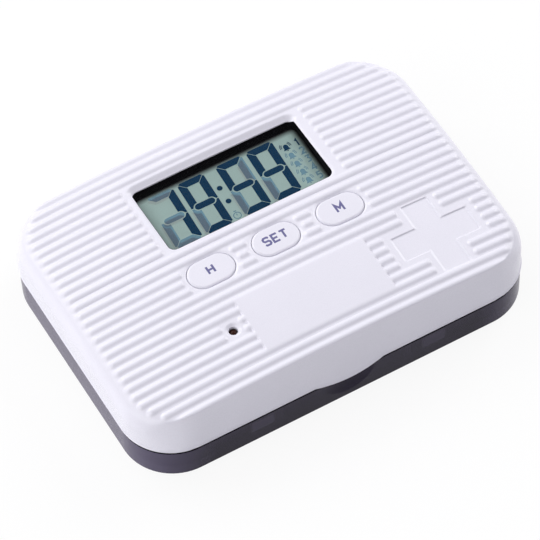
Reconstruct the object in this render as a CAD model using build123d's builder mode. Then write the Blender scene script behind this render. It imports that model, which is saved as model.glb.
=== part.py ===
"""Smart pill box: a six-compartment tray under a hinged lid that holds a clock, keys and cells.

Millimetres. X runs along the ribs, -Y is the front with the thumb lip, +Z is up. The origin is
the middle of the tray's flat underside. The lid is drawn shut.
"""
import os
from math import asin, cos, degrees, sin, sqrt

from build123d import *

os.makedirs("parts", exist_ok=True)

# Overall outline, seen from above
body_length = 138.0
body_width = 97.4
corner_radius = 17.5

# Heights above the surface that the box stands on
rim_z = 11.7
seam_gap = 0.3
crown_z = 29.4

# The lid's top is gently crowned both ways, with a round shoulder down to the side walls
crown_radius_x = 850.0
crown_radius_y = 505.0
shoulder_radius = 6.1
lid_wall = 1.8

# Grip ribs that run along the lid's top
rib_count = 26
rib_pitch = 3.37
rib_width = 2.3
rib_height = 0.6
rib_root = 0.9
rib_end_inset = 4.1

# Display window, its bevels and the black ring inside it
window_length = 56.2
window_depth = 24.6
window_y = 20.3
window_radius = 2.6
window_moat = 3.3
window_step = 0.45
rear_bevel_width = 2.8
rear_bevel_drop = 1.2
bezel_wall = 0.9
bezel_gap = 0.1
bezel_drop = 1.2

# Lens, display and what holds it on the board
lens_margin = 2.0
lens_thickness = 1.0
glass_margin = 2.4
glass_thickness = 2.0
glass_top_z = 24.6
holder_wall = 1.6
holder_height = 2.5
strip_length = 50.0
strip_width = 2.0
strip_gap = 0.3

# Keys
key_length = 15.6
key_width = 10.1
key_spacing = 22.6
key_row = 14
key_rise = 0.2
key_edge = 0.7
key_clearance = 0.25
key_hole_edge = 0.25
key_moat = 1.55
key_flange = 1.0
key_flange_reach = 1.2
key_flange_z = 26.7
key_travel = 0.5
stem_radius = 2.0

# Bare pad, plus sign and light hole
pad_length = 45.0
pad_first_row = 18
pad_last_row = 24
pad_rise = 0.05
plus_x = 43.3
plus_y = -27.3
plus_span = 26.6
plus_arm = 9.1
plus_depth = 0.35
plus_moat = 2.1
light_x = -27.4
light_y = -27.0
light_radius = 1.5
light_hole_clearance = 0.1
light_sink = 0.45
light_moat = 2.0
light_recess = 1.1
light_height = 4.6
light_flange = 0.4
light_flange_height = 1.0

# Thumb lip at the front
lip_length = 21.4
lip_drop = 2.0
lip_reach = 1.0
lip_height = 6.0

# Tray
tray_inset = 0.3
tray_draft = 0.5
tray_wall = 2.0
tray_floor = 1.5
tray_foot_radius = 0.4
divider = 1.4
divider_drop = 0.6
pocket_corner = 2.5
pocket_foot_radius = 1.2
columns = 3
rows = 2
scoop_radius = 42.0
scoop_depth = 1.1

# Hinge along the back edge
hinge_offset = 1.1
knuckle_radius = 1.9
knuckle_width = 6.0
ear_width = 5.0
knuckle_gap = 0.3
hinge_station = 36.0
pin_radius = 0.8
pin_seat = 0.02
pin_running = 0.05

# Plate that closes the lid from below, with the battery bay and the latch tabs
cover_thickness = 1.2
cover_rise = 0.5
cover_clearance = 0.2
bay_x = 2.6
bay_y = -27.4
bay_wall = 1.8
bay_slack = 0.3
door_ledge = 0.6
door_clearance = 0.15
door_ear_width = 6.4
door_boss_height = 6.5
door_boss_inset = 1.0
tab_width = 7.0
tab_thickness = 1.5
tab_x = 30.0
tab_tip_z = 3.1
tab_gap = 0.8

# Cells and their contacts
cell_length = 44.5
cell_radius = 5.25
cell_gap = 0.7
cell_nub_radius = 1.9
cell_nub = 0.8
cell_edge = 0.6
cell_play = 0.15
contact_thickness = 0.4
contact_size = 8.0
lead_width = 3.0
lead_overlap = 2.0
lead_clearance = 0.15
spring_room = 5.8
spring_wire = 0.5
spring_radius = 3.2
spring_tip_radius = 2.0

# Circuit board and what is on it
board_thickness = 1.6
board_length = 91.0
board_back_y = 39.5
board_front_y = -13.0
board_corner = 1.5
arm_gap = 0.45
arm_width = 10.8
arm_front_y = -36.0
switch_size = 6.0
switch_height = 3.5
plunger_radius = 1.7
plunger_clearance = 0.06
plunger_seat = 2.2
plunger_rise = 1.0
plunger_room = 0.3
chip_size = 10.0
chip_height = 1.5
chip_y = 14.0
crystal_radius = 1.0
crystal_length = 6.0
crystal_x = -14.0
buzzer_radius = 6.0
buzzer_height = 4.0
buzzer_x = 30.0
buzzer_port = 1.0
sound_hole = 0.8
sound_ring = 3.0
sound_count = 6
leg_width = 0.5
leg_pitch = 2.54
leg_clearance = 0.1
leg_tail = 1.0

# Self-tapping screws and the bosses that take them
screw_radius = 1.0
screw_length = 6.0
screw_fit = 0.02
screw_head_radius = 1.9
screw_head = 1.0
screw_clearance = 0.2
screw_seat = 0.6
screw_room = 0.3
slot_width = 0.6
slot_length = 2.4
slot_depth = 0.5
boss_radius = 2.8
cover_boss_x = 59.0
cover_boss_y = 37.5
board_boss_inset = 3.5

# Places worked out from the sizes above
half_length = body_length / 2
half_width = body_width / 2
seam_z = rim_z + seam_gap
hinge_y = half_width + hinge_offset
hinge_z = rim_z + seam_gap / 2
ear_offset = knuckle_width / 2 + knuckle_gap + ear_width / 2
inner_length = body_length - 2 * lid_wall
inner_width = body_width - 2 * lid_wall
inner_radius = corner_radius - lid_wall
cover_z = seam_z + cover_rise
cover_top_z = cover_z + cover_thickness
lens_top_z = glass_top_z + lens_thickness
board_top_z = glass_top_z - glass_thickness - holder_height
board_z = board_top_z - board_thickness
switch_top_z = board_top_z + switch_height
plunger_top_z = switch_top_z + plunger_rise
cell_z = cover_top_z + cell_radius + cell_play
cell_step = cell_radius + cell_gap / 2
bay_half_length = (cell_length + spring_room + 2 * contact_thickness) / 2
bay_half_width = 2 * cell_radius + cell_gap / 2 + bay_slack
bay_top_z = cell_z + cell_radius
bay_left_x = bay_x - bay_half_length
bay_right_x = bay_x + bay_half_length
door_screw_x = bay_right_x + bay_wall + boss_radius - door_boss_inset
arm_x = bay_left_x - bay_wall - arm_gap - arm_width / 2
crown_axis = Axis((0, 0, crown_z - crown_radius_x), (0, 1, 0))
key_xs = (-key_spacing, 0.0, key_spacing)
cover_boss_places = [(x, y) for x in (-cover_boss_x, cover_boss_x) for y in (-cover_boss_y, cover_boss_y)]
board_boss_x = board_length / 2 - board_boss_inset
board_boss_places = [
    (x, y)
    for x in (-board_boss_x, board_boss_x)
    for y in (board_front_y + board_boss_inset, board_back_y - board_boss_inset)
]
UPWARDS = (Align.CENTER, Align.CENTER, Align.MIN)


def row_y(row):
    """Centre line of one rib, counted from the back."""
    return ((rib_count - 1) / 2 - row) * rib_pitch


key_y = row_y(key_row)
pad_back_y = row_y(pad_first_row)
pad_front_y = row_y(pad_last_row)


def land_z(y):
    """Height of the lid's plain top at the middle of its length."""
    return crown_z - crown_radius_y + sqrt(crown_radius_y**2 - y**2)


def surface_z(x, y):
    """Height of the lid's plain top anywhere."""
    ring = crown_radius_x - crown_z + land_z(y)
    return crown_z - crown_radius_x + sqrt(ring**2 - x**2)


def crown_plane(x, y):
    """Plane across the ribs, with its origin on the crowned top and its Y pointing outwards."""
    angle = asin(x / crown_radius_x)
    ring = crown_radius_x - crown_z + land_z(y)
    place = (ring * sin(angle), y, crown_z - crown_radius_x + ring * cos(angle))
    return Plane(origin=place, x_dir=(0, 1, 0), z_dir=(cos(angle), 0, -sin(angle)))


def crowned_block(length, width, radius, bottom_z, drop, shoulder):
    """A round-cornered block whose top is the lid's crown, lowered by drop."""
    reach_x = body_length * 0.6
    reach_y = body_width * 0.6
    fall = crown_z - land_z(reach_y)
    with BuildPart() as crown:
        with BuildSketch(crown_plane(-reach_x, 0)):
            with BuildLine():
                ThreePointArc((-reach_y, -fall - drop), (0, -drop), (reach_y, -fall - drop))
                Polyline(
                    (reach_y, -fall - drop),
                    (reach_y, -crown_z),
                    (-reach_y, -crown_z),
                    (-reach_y, -fall - drop),
                )
            make_face()
        revolve(axis=crown_axis, revolution_arc=2 * degrees(asin(reach_x / crown_radius_x)))
    with BuildPart() as block:
        with BuildSketch(Plane.XY.offset(bottom_z)):
            RectangleRounded(length, width, radius)
        extrude(amount=crown_z)
        add(crown.part, mode=Mode.INTERSECT)
        if shoulder > 0:
            fillet(block.faces().sort_by(Axis.Z)[-1].edges(), shoulder)
    return block.part


def crown_at(drop):
    """The whole lid's outline under the crown lowered by drop, for trimming other pieces."""
    return crowned_block(body_length, body_width, corner_radius, seam_z, drop, 0)


def rib_bar(y, start_x, end_x):
    """One rib between two places, following the crown, with a round dome at each end."""
    side = rib_width / 2
    arch_radius = (side**2 + rib_height**2) / (2 * rib_height)
    start_x, end_x = start_x + side, end_x - side
    with BuildPart() as bar:
        with BuildSketch(crown_plane(start_x, y)):
            with BuildLine():
                ThreePointArc((-side, 0), (0, rib_height), (side, 0))
                Polyline((side, 0), (side, -rib_root), (-side, -rib_root), (-side, 0))
            make_face()
        sweep_angle = degrees(asin(end_x / crown_radius_x) - asin(start_x / crown_radius_x))
        revolve(axis=crown_axis, revolution_arc=sweep_angle)
        for end, turn in ((start_x, 180), (end_x, -180)):
            plane = crown_plane(end, y)
            with BuildSketch(plane):
                with BuildLine():
                    RadiusArc((0, rib_height), (side, 0), arch_radius)
                    Polyline((side, 0), (side, -rib_root), (0, -rib_root), (0, rib_height))
                make_face()
            revolve(axis=Axis(plane.origin, plane.y_dir), revolution_arc=turn)
    return bar.part


def blocked_spans(y):
    """The stretches of one rib's line that the lid's other features take."""
    spans = []
    window_front = window_y - window_depth / 2 - rib_width / 2
    window_back = window_y + window_depth / 2 + rear_bevel_width + rib_width / 4
    if window_front < y < window_back:
        spans.append((-window_length / 2 - window_moat, window_length / 2 + window_moat))
    key_reach = key_width / 2 + key_moat
    if abs(y - key_y) < key_width / 2 - rib_width / 4:
        half = key_length / 2 - key_width / 2 + sqrt(key_reach**2 - (y - key_y) ** 2)
        spans += [(x - half, x + half) for x in key_xs]
    light_reach = light_radius + light_moat
    if abs(y - light_y) < light_radius + rib_width / 4:
        half = sqrt(light_reach**2 - (y - light_y) ** 2)
        spans.append((light_x - half, light_x + half))
    if pad_front_y + rib_pitch / 2 < y < pad_back_y - rib_pitch / 2:
        spans.append((-pad_length / 2 + rib_width / 2, pad_length / 2 - rib_width / 2))
    if abs(y - plus_y) < plus_arm / 2 + plus_moat / 2:
        half = plus_span / 2 + plus_moat
        spans.append((plus_x - half, plus_x + half))
    elif abs(y - plus_y) < plus_span / 2 + plus_moat / 4:
        half = plus_arm / 2 + plus_moat
        spans.append((plus_x - half, plus_x + half))
    return sorted(spans)


def rib_ends(y):
    """Where a rib stops at the left and right, set in evenly from the rounded outline."""
    inset_radius = corner_radius - rib_end_inset
    beyond = max(0.0, abs(y) - (half_width - corner_radius))
    return half_length - corner_radius + sqrt(inset_radius**2 - min(beyond, inset_radius) ** 2)


def screws(places, seat_z):
    """Slotted pan-head screws that are driven upwards, with their heads under seat_z."""
    with BuildPart() as group:
        with Locations(*[(x, y, seat_z) for x, y in places]):
            Cylinder(screw_radius, screw_length, align=UPWARDS)
        with Locations(*[(x, y, seat_z - screw_head) for x, y in places]):
            Cylinder(screw_head_radius, screw_head, align=UPWARDS)
            Box(slot_length, slot_width, slot_depth, align=UPWARDS, mode=Mode.SUBTRACT)
    return group.part


# Hollow of the lid, with the screw bosses left standing and their pilot holes open
with BuildPart() as lid_hollow:
    add(
        crowned_block(
            inner_length, inner_width, inner_radius, seam_z, lid_wall, shoulder_radius - lid_wall
        )
    )
    for places, foot_z, seat_z in (
        (cover_boss_places, cover_top_z, cover_z + screw_seat),
        (board_boss_places, board_top_z, board_z),
    ):
        with Locations(*[(x, y, foot_z) for x, y in places]):
            Cylinder(boss_radius, crown_z, align=UPWARDS, mode=Mode.SUBTRACT)
        pilot_length = seat_z + screw_length + screw_room - foot_z
        with Locations(*[(x, y, foot_z) for x, y in places]):
            Cylinder(screw_radius + screw_fit, pilot_length, align=UPWARDS)

# Thumb lip: a shallow swelling that dips below the seam in a smile
lip_low_z = seam_z - lip_drop
lip_high_z = seam_z + lip_height
with BuildPart() as thumb_lip:
    with BuildSketch(Plane.XY.offset(lip_low_z)):
        with BuildLine():
            ThreePointArc(
                (-lip_length / 2, -half_width),
                (0, -half_width - lip_reach),
                (lip_length / 2, -half_width),
            )
            Polyline(
                (lip_length / 2, -half_width),
                (lip_length / 2, -half_width + lid_wall / 2),
                (-lip_length / 2, -half_width + lid_wall / 2),
                (-lip_length / 2, -half_width),
            )
        make_face()
    extrude(amount=lip_high_z - lip_low_z)
    with BuildSketch(Plane.XZ):
        with BuildLine():
            ThreePointArc((-lip_length / 2, seam_z), (0, lip_low_z), (lip_length / 2, seam_z))
            ThreePointArc((lip_length / 2, seam_z), (0, lip_high_z), (-lip_length / 2, seam_z))
        make_face()
    extrude(amount=body_width, mode=Mode.INTERSECT)
    with BuildSketch(Plane.YZ):
        with BuildLine():
            Polyline(
                (-half_width - lip_reach, lip_low_z),
                (-half_width - lip_reach, seam_z + lip_reach),
                (-half_width, lip_high_z),
                (-half_width + lid_wall / 2, lip_high_z),
                (-half_width + lid_wall / 2, seam_z),
                (-half_width, seam_z),
                (-half_width, lip_low_z),
                close=True,
            )
        make_face()
    extrude(amount=lip_length, both=True, mode=Mode.INTERSECT)

# Bare pad between two ribs, level with their crests
with BuildPart() as pad:
    with BuildSketch(Plane.XY.offset(seam_z)):
        with Locations((0, (pad_back_y + pad_front_y) / 2)):
            Rectangle(pad_length, pad_back_y - pad_front_y)
    extrude(amount=crown_z)
    add(crown_at(-rib_height - pad_rise), mode=Mode.INTERSECT)

# Plug that sinks the plus sign evenly below the crowned top
with BuildPart() as plus_plug:
    with BuildSketch(Plane.XY.offset(seam_z)):
        with Locations((plus_x, plus_y)):
            Rectangle(plus_span, plus_arm)
            Rectangle(plus_arm, plus_span)
    extrude(amount=crown_z)
    add(crown_at(plus_depth), mode=Mode.SUBTRACT)

# Ribs, broken where the window, keys, light, pad and plus sign stand in their way
ribs = []
for row in range(rib_count):
    line_y = row_y(row)
    left = -rib_ends(line_y)
    for low, high in blocked_spans(line_y):
        if low - left > rib_width:
            ribs.append(rib_bar(line_y, left, low))
        left = high
    ribs.append(rib_bar(line_y, left, rib_ends(line_y)))

# White ribbed lid
window_back_y = window_y + window_depth / 2
bevel_back_y = window_back_y + rear_bevel_width
bevel_low_z = surface_z(0, window_back_y) - rear_bevel_drop
with BuildPart() as lid_shell:
    add(crowned_block(body_length, body_width, corner_radius, seam_z, 0, shoulder_radius))
    with BuildSketch(Plane.XY.offset(seam_z)):
        with Locations((0, window_y)):
            RectangleRounded(window_length, window_depth, window_radius)
    extrude(amount=crown_z, mode=Mode.SUBTRACT)
    lid_top = lid_shell.faces().sort_by(Axis.Z)[-1]
    chamfer(lid_top.inner_wires().edges(), window_step)
    with BuildSketch(Plane.XY.offset(seam_z)):
        with Locations(*[(x, key_y) for x in key_xs]):
            SlotOverall(key_length + 2 * key_clearance, key_width + 2 * key_clearance)
    extrude(amount=crown_z, mode=Mode.SUBTRACT)
    lid_top = lid_shell.faces().sort_by(Axis.Z)[-1]
    key_rims = [wire for wire in lid_top.inner_wires() if wire.center().Y < 0]
    chamfer([edge for wire in key_rims for edge in wire.edges()], key_hole_edge)
    add(ribs)
    add(pad.part)
    add(thumb_lip.part)
    for side in (-1, 1):
        with Locations((side * hinge_station, hinge_y, hinge_z)):
            Cylinder(knuckle_radius, knuckle_width, rotation=(0, 90, 0))
        with Locations((side * hinge_station, hinge_y, seam_z)):
            Box(
                knuckle_width,
                hinge_offset + lid_wall / 2,
                knuckle_radius - seam_gap / 2,
                align=(Align.CENTER, Align.MAX, Align.MIN),
            )
    add(lid_hollow.part, mode=Mode.SUBTRACT)
    for side in (-1, 1):
        with Locations((side * hinge_station, hinge_y, hinge_z)):
            Cylinder(
                pin_radius + pin_running, 2 * knuckle_width, rotation=(0, 90, 0), mode=Mode.SUBTRACT
            )
        with Locations(*[(side * hinge_station + ear * ear_offset, hinge_y, hinge_z) for ear in (-1, 1)]):
            Cylinder(
                knuckle_radius + knuckle_gap,
                ear_width + 2 * knuckle_gap,
                rotation=(0, 90, 0),
                mode=Mode.SUBTRACT,
            )
    add(plus_plug.part, mode=Mode.SUBTRACT)
    with BuildSketch(Plane.YZ):
        with BuildLine():
            Polyline(
                (window_back_y - rear_bevel_width, bevel_low_z),
                (window_back_y, bevel_low_z),
                (bevel_back_y, surface_z(0, bevel_back_y)),
                (bevel_back_y, crown_z + rib_pitch),
                (window_back_y - rear_bevel_width, crown_z + rib_pitch),
                close=True,
            )
        make_face()
    extrude(amount=window_length / 2, both=True, mode=Mode.SUBTRACT)
    with Locations((light_x, light_y, surface_z(light_x, light_y))):
        CounterSinkHole(
            light_radius + light_hole_clearance,
            light_radius + light_hole_clearance + light_sink,
            depth=2 * lid_wall,
        )
lid_shell.part.label = "lid_shell"
export_step(lid_shell.part, "parts/lid_shell.step")

# Smoke-grey tray with drafted walls, six pockets, a thumb scoop and the outer hinge ears
tray_length = body_length - 2 * tray_inset
tray_width = body_width - 2 * tray_inset
tray_radius = corner_radius - tray_inset
tray_inner_length = tray_length - 2 * tray_wall
tray_inner_width = tray_width - 2 * tray_wall
pocket_length = (tray_inner_length - (columns - 1) * divider) / columns
pocket_width = (tray_inner_width - (rows - 1) * divider) / rows
ear_places = [
    (side * hinge_station + ear * ear_offset, hinge_y, hinge_z) for side in (-1, 1) for ear in (-1, 1)
]
station_places = [(side * hinge_station, hinge_y, hinge_z) for side in (-1, 1)]
with BuildPart() as base_tray:
    with BuildSketch(Plane.XY.offset(rim_z)):
        RectangleRounded(tray_length, tray_width, tray_radius)
    extrude(amount=-rim_z, taper=tray_draft)
    fillet(base_tray.faces().sort_by(Axis.Z)[0].edges(), tray_foot_radius)
    with BuildSketch(Plane.XY.offset(tray_floor)):
        with GridLocations(pocket_length + divider, pocket_width + divider, columns, rows):
            RectangleRounded(pocket_length, pocket_width, pocket_corner)
        RectangleRounded(
            tray_inner_length, tray_inner_width, tray_radius - tray_wall, mode=Mode.INTERSECT
        )
    extrude(amount=rim_z, mode=Mode.SUBTRACT)
    pocket_floors = base_tray.faces().filter_by(Plane.XY).filter_by(
        lambda face: abs(face.center().Z - tray_floor) < tray_floor / 100
    )
    fillet(pocket_floors.edges(), pocket_foot_radius)
    with BuildSketch(Plane.XY.offset(rim_z - divider_drop)):
        RectangleRounded(tray_inner_length, tray_inner_width, tray_radius - tray_wall)
    extrude(amount=rim_z, mode=Mode.SUBTRACT)
    with Locations(*ear_places):
        Cylinder(knuckle_radius, ear_width, rotation=(0, 90, 0))
    with Locations(*[(x, y, rim_z) for x, y, z in ear_places]):
        Box(
            ear_width,
            hinge_offset + tray_inset + tray_wall / 2,
            knuckle_radius - seam_gap / 2,
            align=(Align.CENTER, Align.MAX, Align.MAX),
        )
    with Locations(*station_places):
        Cylinder(
            knuckle_radius + knuckle_gap,
            knuckle_width + 2 * knuckle_gap,
            rotation=(0, 90, 0),
            mode=Mode.SUBTRACT,
        )
        Cylinder(pin_radius + pin_seat, 4 * knuckle_width, rotation=(0, 90, 0), mode=Mode.SUBTRACT)
    with Locations((0, -tray_width / 2 - scoop_radius + scoop_depth, rim_z)):
        Sphere(scoop_radius, mode=Mode.SUBTRACT)
base_tray.part.label = "base_tray"
export_step(base_tray.part, "parts/base_tray.step")

# Steel hinge pins, one at each end
with BuildPart() as hinge_pins:
    with Locations(*station_places):
        Cylinder(pin_radius, knuckle_width + 2 * (knuckle_gap + ear_width), rotation=(0, 90, 0))
hinge_pins.part.label = "hinge_pins"
export_step(hinge_pins.part, "parts/hinge_pins.step")

# Plate that closes the lid, with the walls of the battery bay, the screw boss and the latch tabs
tab_y = -tray_inner_width / 2 + tab_gap + tab_thickness / 2
door_length = 2 * (bay_half_length + door_ledge)
door_width = 2 * (bay_half_width + door_ledge)
sound_y = chip_y
with BuildPart() as lid_inner_cover:
    with BuildSketch(Plane.XY.offset(cover_z)):
        RectangleRounded(
            inner_length - 2 * cover_clearance,
            inner_width - 2 * cover_clearance,
            inner_radius - cover_clearance,
        )
        with Locations((bay_x, bay_y)):
            Rectangle(door_length, door_width, mode=Mode.SUBTRACT)
        with Locations((door_screw_x, bay_y)):
            Circle(door_ear_width / 2 + door_clearance, mode=Mode.SUBTRACT)
        with Locations((bay_right_x, bay_y)):
            Rectangle(
                door_screw_x - bay_right_x,
                door_ear_width + 2 * door_clearance,
                align=(Align.MIN, Align.CENTER),
                mode=Mode.SUBTRACT,
            )
        with Locations((buzzer_x, sound_y)):
            Circle(sound_hole, mode=Mode.SUBTRACT)
            with PolarLocations(sound_ring, sound_count):
                Circle(sound_hole, mode=Mode.SUBTRACT)
    extrude(amount=cover_thickness)
    with BuildSketch(Plane.XY.offset(cover_top_z)):
        with Locations((bay_x, bay_y)):
            Rectangle(2 * (bay_half_length + bay_wall), 2 * (bay_half_width + bay_wall))
            Rectangle(2 * bay_half_length, 2 * bay_half_width, mode=Mode.SUBTRACT)
    extrude(amount=bay_top_z - cover_top_z)
    with Locations((door_screw_x, bay_y, cover_top_z)):
        Cylinder(boss_radius, door_boss_height, align=UPWARDS)
        Cylinder(screw_radius + screw_fit, door_boss_height, align=UPWARDS, mode=Mode.SUBTRACT)
    with Locations(*[(bay_left_x, bay_y + side * cell_step, board_top_z) for side in (-1, 1)]):
        Box(
            2 * (bay_wall + arm_gap),
            lead_width + 2 * lead_clearance,
            bay_top_z,
            align=UPWARDS,
            mode=Mode.SUBTRACT,
        )
    with Locations(*[(side * tab_x, tab_y, tab_tip_z) for side in (-1, 1)]):
        Box(tab_width, tab_thickness, cover_z - tab_tip_z, align=UPWARDS)
    tab_tips = lid_inner_cover.faces().filter_by(Plane.XY).group_by(Axis.Z)[0]
    fillet(tab_tips.edges().filter_by(Axis.X), tab_thickness * 0.4)
    with Locations(*[(x, y, cover_z) for x, y in cover_boss_places]):
        Cylinder(
            screw_radius + screw_clearance, cover_thickness, align=UPWARDS, mode=Mode.SUBTRACT
        )
        Cylinder(screw_head_radius + screw_clearance, screw_seat, align=UPWARDS, mode=Mode.SUBTRACT)
lid_inner_cover.part.label = "lid_inner_cover"
export_step(lid_inner_cover.part, "parts/lid_inner_cover.step")

# Battery door, flush with the plate, with an ear for its screw
with BuildPart() as battery_door:
    with BuildSketch(Plane.XY.offset(cover_z)):
        with Locations((bay_x, bay_y)):
            Rectangle(door_length - 2 * door_clearance, door_width - 2 * door_clearance)
        with Locations((bay_right_x, bay_y)):
            Rectangle(
                door_screw_x - bay_right_x, door_ear_width, align=(Align.MIN, Align.CENTER)
            )
        with Locations((door_screw_x, bay_y)):
            Circle(door_ear_width / 2)
            Circle(screw_radius + screw_clearance, mode=Mode.SUBTRACT)
    extrude(amount=cover_thickness)
    with Locations((door_screw_x, bay_y, cover_z)):
        Cylinder(screw_head_radius + screw_clearance, screw_seat, align=UPWARDS, mode=Mode.SUBTRACT)
battery_door.part.label = "battery_door"
export_step(battery_door.part, "parts/battery_door.step")

# Screws of the plate, the board and the battery door
for screw_name, screw_places, screw_seat_z in (
    ("cover_screws", cover_boss_places, cover_z + screw_seat),
    ("board_screws", board_boss_places, board_z),
    ("door_screw", [(door_screw_x, bay_y)], cover_z + screw_seat),
):
    screw_group = screws(screw_places, screw_seat_z)
    screw_group.label = screw_name
    export_step(screw_group, f"parts/{screw_name}.step")

# Two dry cells side by side, pointing opposite ways
spring_end_x = bay_left_x + contact_thickness + spring_room
nub_end_x = bay_left_x + contact_thickness
for cell_name, side, start_x, turn in (
    ("cell_front", -1, nub_end_x, 180),
    ("cell_back", 1, spring_end_x, 0),
):
    with BuildPart(Plane.YZ.offset(start_x)) as cell:
        body_start = cell_nub if turn else 0
        with Locations((bay_y + side * cell_step, cell_z, body_start)):
            Cylinder(cell_radius, cell_length - cell_nub, align=UPWARDS)
        fillet(cell.edges().filter_by(GeomType.CIRCLE), cell_edge)
        nub_start = 0 if turn else cell_length - cell_nub
        with Locations((bay_y + side * cell_step, cell_z, nub_start)):
            Cylinder(cell_nub_radius, cell_nub, align=UPWARDS)
    cell.part.label = cell_name
    export_step(cell.part, f"parts/{cell_name}.step")

# Flat contacts at the left end of the bay, with leads that lie on the board's arm
with BuildPart() as battery_contacts:
    for side in (-1, 1):
        with Locations((bay_left_x, bay_y + side * cell_step, cell_z)):
            Box(contact_thickness, contact_size, contact_size, align=(Align.MIN, Align.CENTER, Align.CENTER))
        with Locations((bay_left_x + contact_thickness, bay_y + side * cell_step, board_top_z)):
            Box(
                contact_thickness + bay_wall + arm_gap + lead_overlap,
                lead_width,
                contact_thickness,
                align=(Align.MAX, Align.CENTER, Align.MIN),
            )
battery_contacts.part.label = "battery_contacts"
export_step(battery_contacts.part, "parts/battery_contacts.step")

# Bridge that joins both cells at the right end of the bay
with BuildPart() as battery_bridge:
    with Locations((bay_right_x, bay_y, cell_z)):
        Box(
            contact_thickness,
            2 * cell_step + contact_size,
            contact_size,
            align=(Align.MAX, Align.CENTER, Align.CENTER),
        )
battery_bridge.part.label = "battery_bridge"
export_step(battery_bridge.part, "parts/battery_bridge.step")

# Springs that press on the flat ends of the cells, drawn as tapered sleeves
with BuildPart() as battery_springs:
    for side, base_x, tip_x in (
        (1, bay_left_x + contact_thickness, spring_end_x),
        (-1, bay_right_x - contact_thickness, nub_end_x + cell_length),
    ):
        with BuildSketch(Plane.XY.offset(cell_z)):
            with BuildLine():
                Polyline(
                    (base_x, bay_y + side * cell_step + spring_radius),
                    (tip_x, bay_y + side * cell_step + spring_tip_radius),
                    (tip_x, bay_y + side * cell_step + spring_tip_radius - spring_wire),
                    (base_x, bay_y + side * cell_step + spring_radius - spring_wire),
                    close=True,
                )
            make_face()
        revolve(axis=Axis((0, bay_y + side * cell_step, cell_z), (1, 0, 0)))
battery_springs.part.label = "battery_springs"
export_step(battery_springs.part, "parts/battery_springs.step")

# Circuit board with an arm down the left side that carries the light
with BuildPart() as circuit_board:
    with BuildSketch(Plane.XY.offset(board_z)):
        with Locations((0, (board_back_y + board_front_y) / 2)):
            RectangleRounded(board_length, board_back_y - board_front_y, board_corner)
        with Locations((arm_x, board_front_y + board_corner)):
            RectangleRounded(
                arm_width,
                board_front_y + 2 * board_corner - arm_front_y,
                board_corner,
                align=(Align.CENTER, Align.MAX),
            )
        with Locations(*board_boss_places):
            Circle(screw_radius + screw_clearance, mode=Mode.SUBTRACT)
        with Locations(*[(light_x + side * leg_pitch / 2, light_y) for side in (-1, 1)]):
            Rectangle(leg_width + 2 * leg_clearance, leg_width + 2 * leg_clearance, mode=Mode.SUBTRACT)
    extrude(amount=board_thickness)
circuit_board.part.label = "circuit_board"
export_step(circuit_board.part, "parts/circuit_board.step")

# Frame between the board and the display, with the rubber strip that carries its signals
glass_length = window_length + 2 * glass_margin
glass_depth = window_depth + 2 * glass_margin
with BuildPart() as display_holder:
    with BuildSketch(Plane.XY.offset(board_top_z)):
        with Locations((0, window_y)):
            Rectangle(glass_length, glass_depth)
            Rectangle(glass_length - 2 * holder_wall, glass_depth - 2 * holder_wall, mode=Mode.SUBTRACT)
    extrude(amount=holder_height)
display_holder.part.label = "display_holder"
export_step(display_holder.part, "parts/display_holder.step")

strip_y = window_y - glass_depth / 2 + holder_wall + strip_gap + strip_width / 2
with BuildPart() as contact_strip:
    with Locations((0, strip_y, board_top_z)):
        Box(strip_length, strip_width, holder_height, align=UPWARDS)
contact_strip.part.label = "contact_strip"
export_step(contact_strip.part, "parts/contact_strip.step")

# Display glass, the clear lens above it and the black ring that frames the view
with BuildPart() as display_glass:
    with Locations((0, window_y, glass_top_z - glass_thickness)):
        Box(glass_length, glass_depth, glass_thickness, align=UPWARDS)
display_glass.part.label = "display_glass"
export_step(display_glass.part, "parts/display_glass.step")

with BuildPart() as display_lens:
    with BuildSketch(Plane.XY.offset(glass_top_z)):
        with Locations((0, window_y)):
            RectangleRounded(
                window_length + 2 * lens_margin, window_depth + 2 * lens_margin, window_radius
            )
    extrude(amount=lens_thickness)
display_lens.part.label = "display_lens"
export_step(display_lens.part, "parts/display_lens.step")

with BuildPart() as display_bezel:
    with BuildSketch(Plane.XY.offset(lens_top_z)):
        with Locations((0, window_y)):
            RectangleRounded(
                window_length - 2 * bezel_gap, window_depth - 2 * bezel_gap, window_radius - bezel_gap
            )
            RectangleRounded(
                window_length - 2 * (bezel_gap + bezel_wall),
                window_depth - 2 * (bezel_gap + bezel_wall),
                window_radius - bezel_gap - bezel_wall,
                mode=Mode.SUBTRACT,
            )
    extrude(amount=crown_z)
    add(crown_at(bezel_drop), mode=Mode.INTERSECT)
display_bezel.part.label = "display_bezel"
export_step(display_bezel.part, "parts/display_bezel.step")

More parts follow.
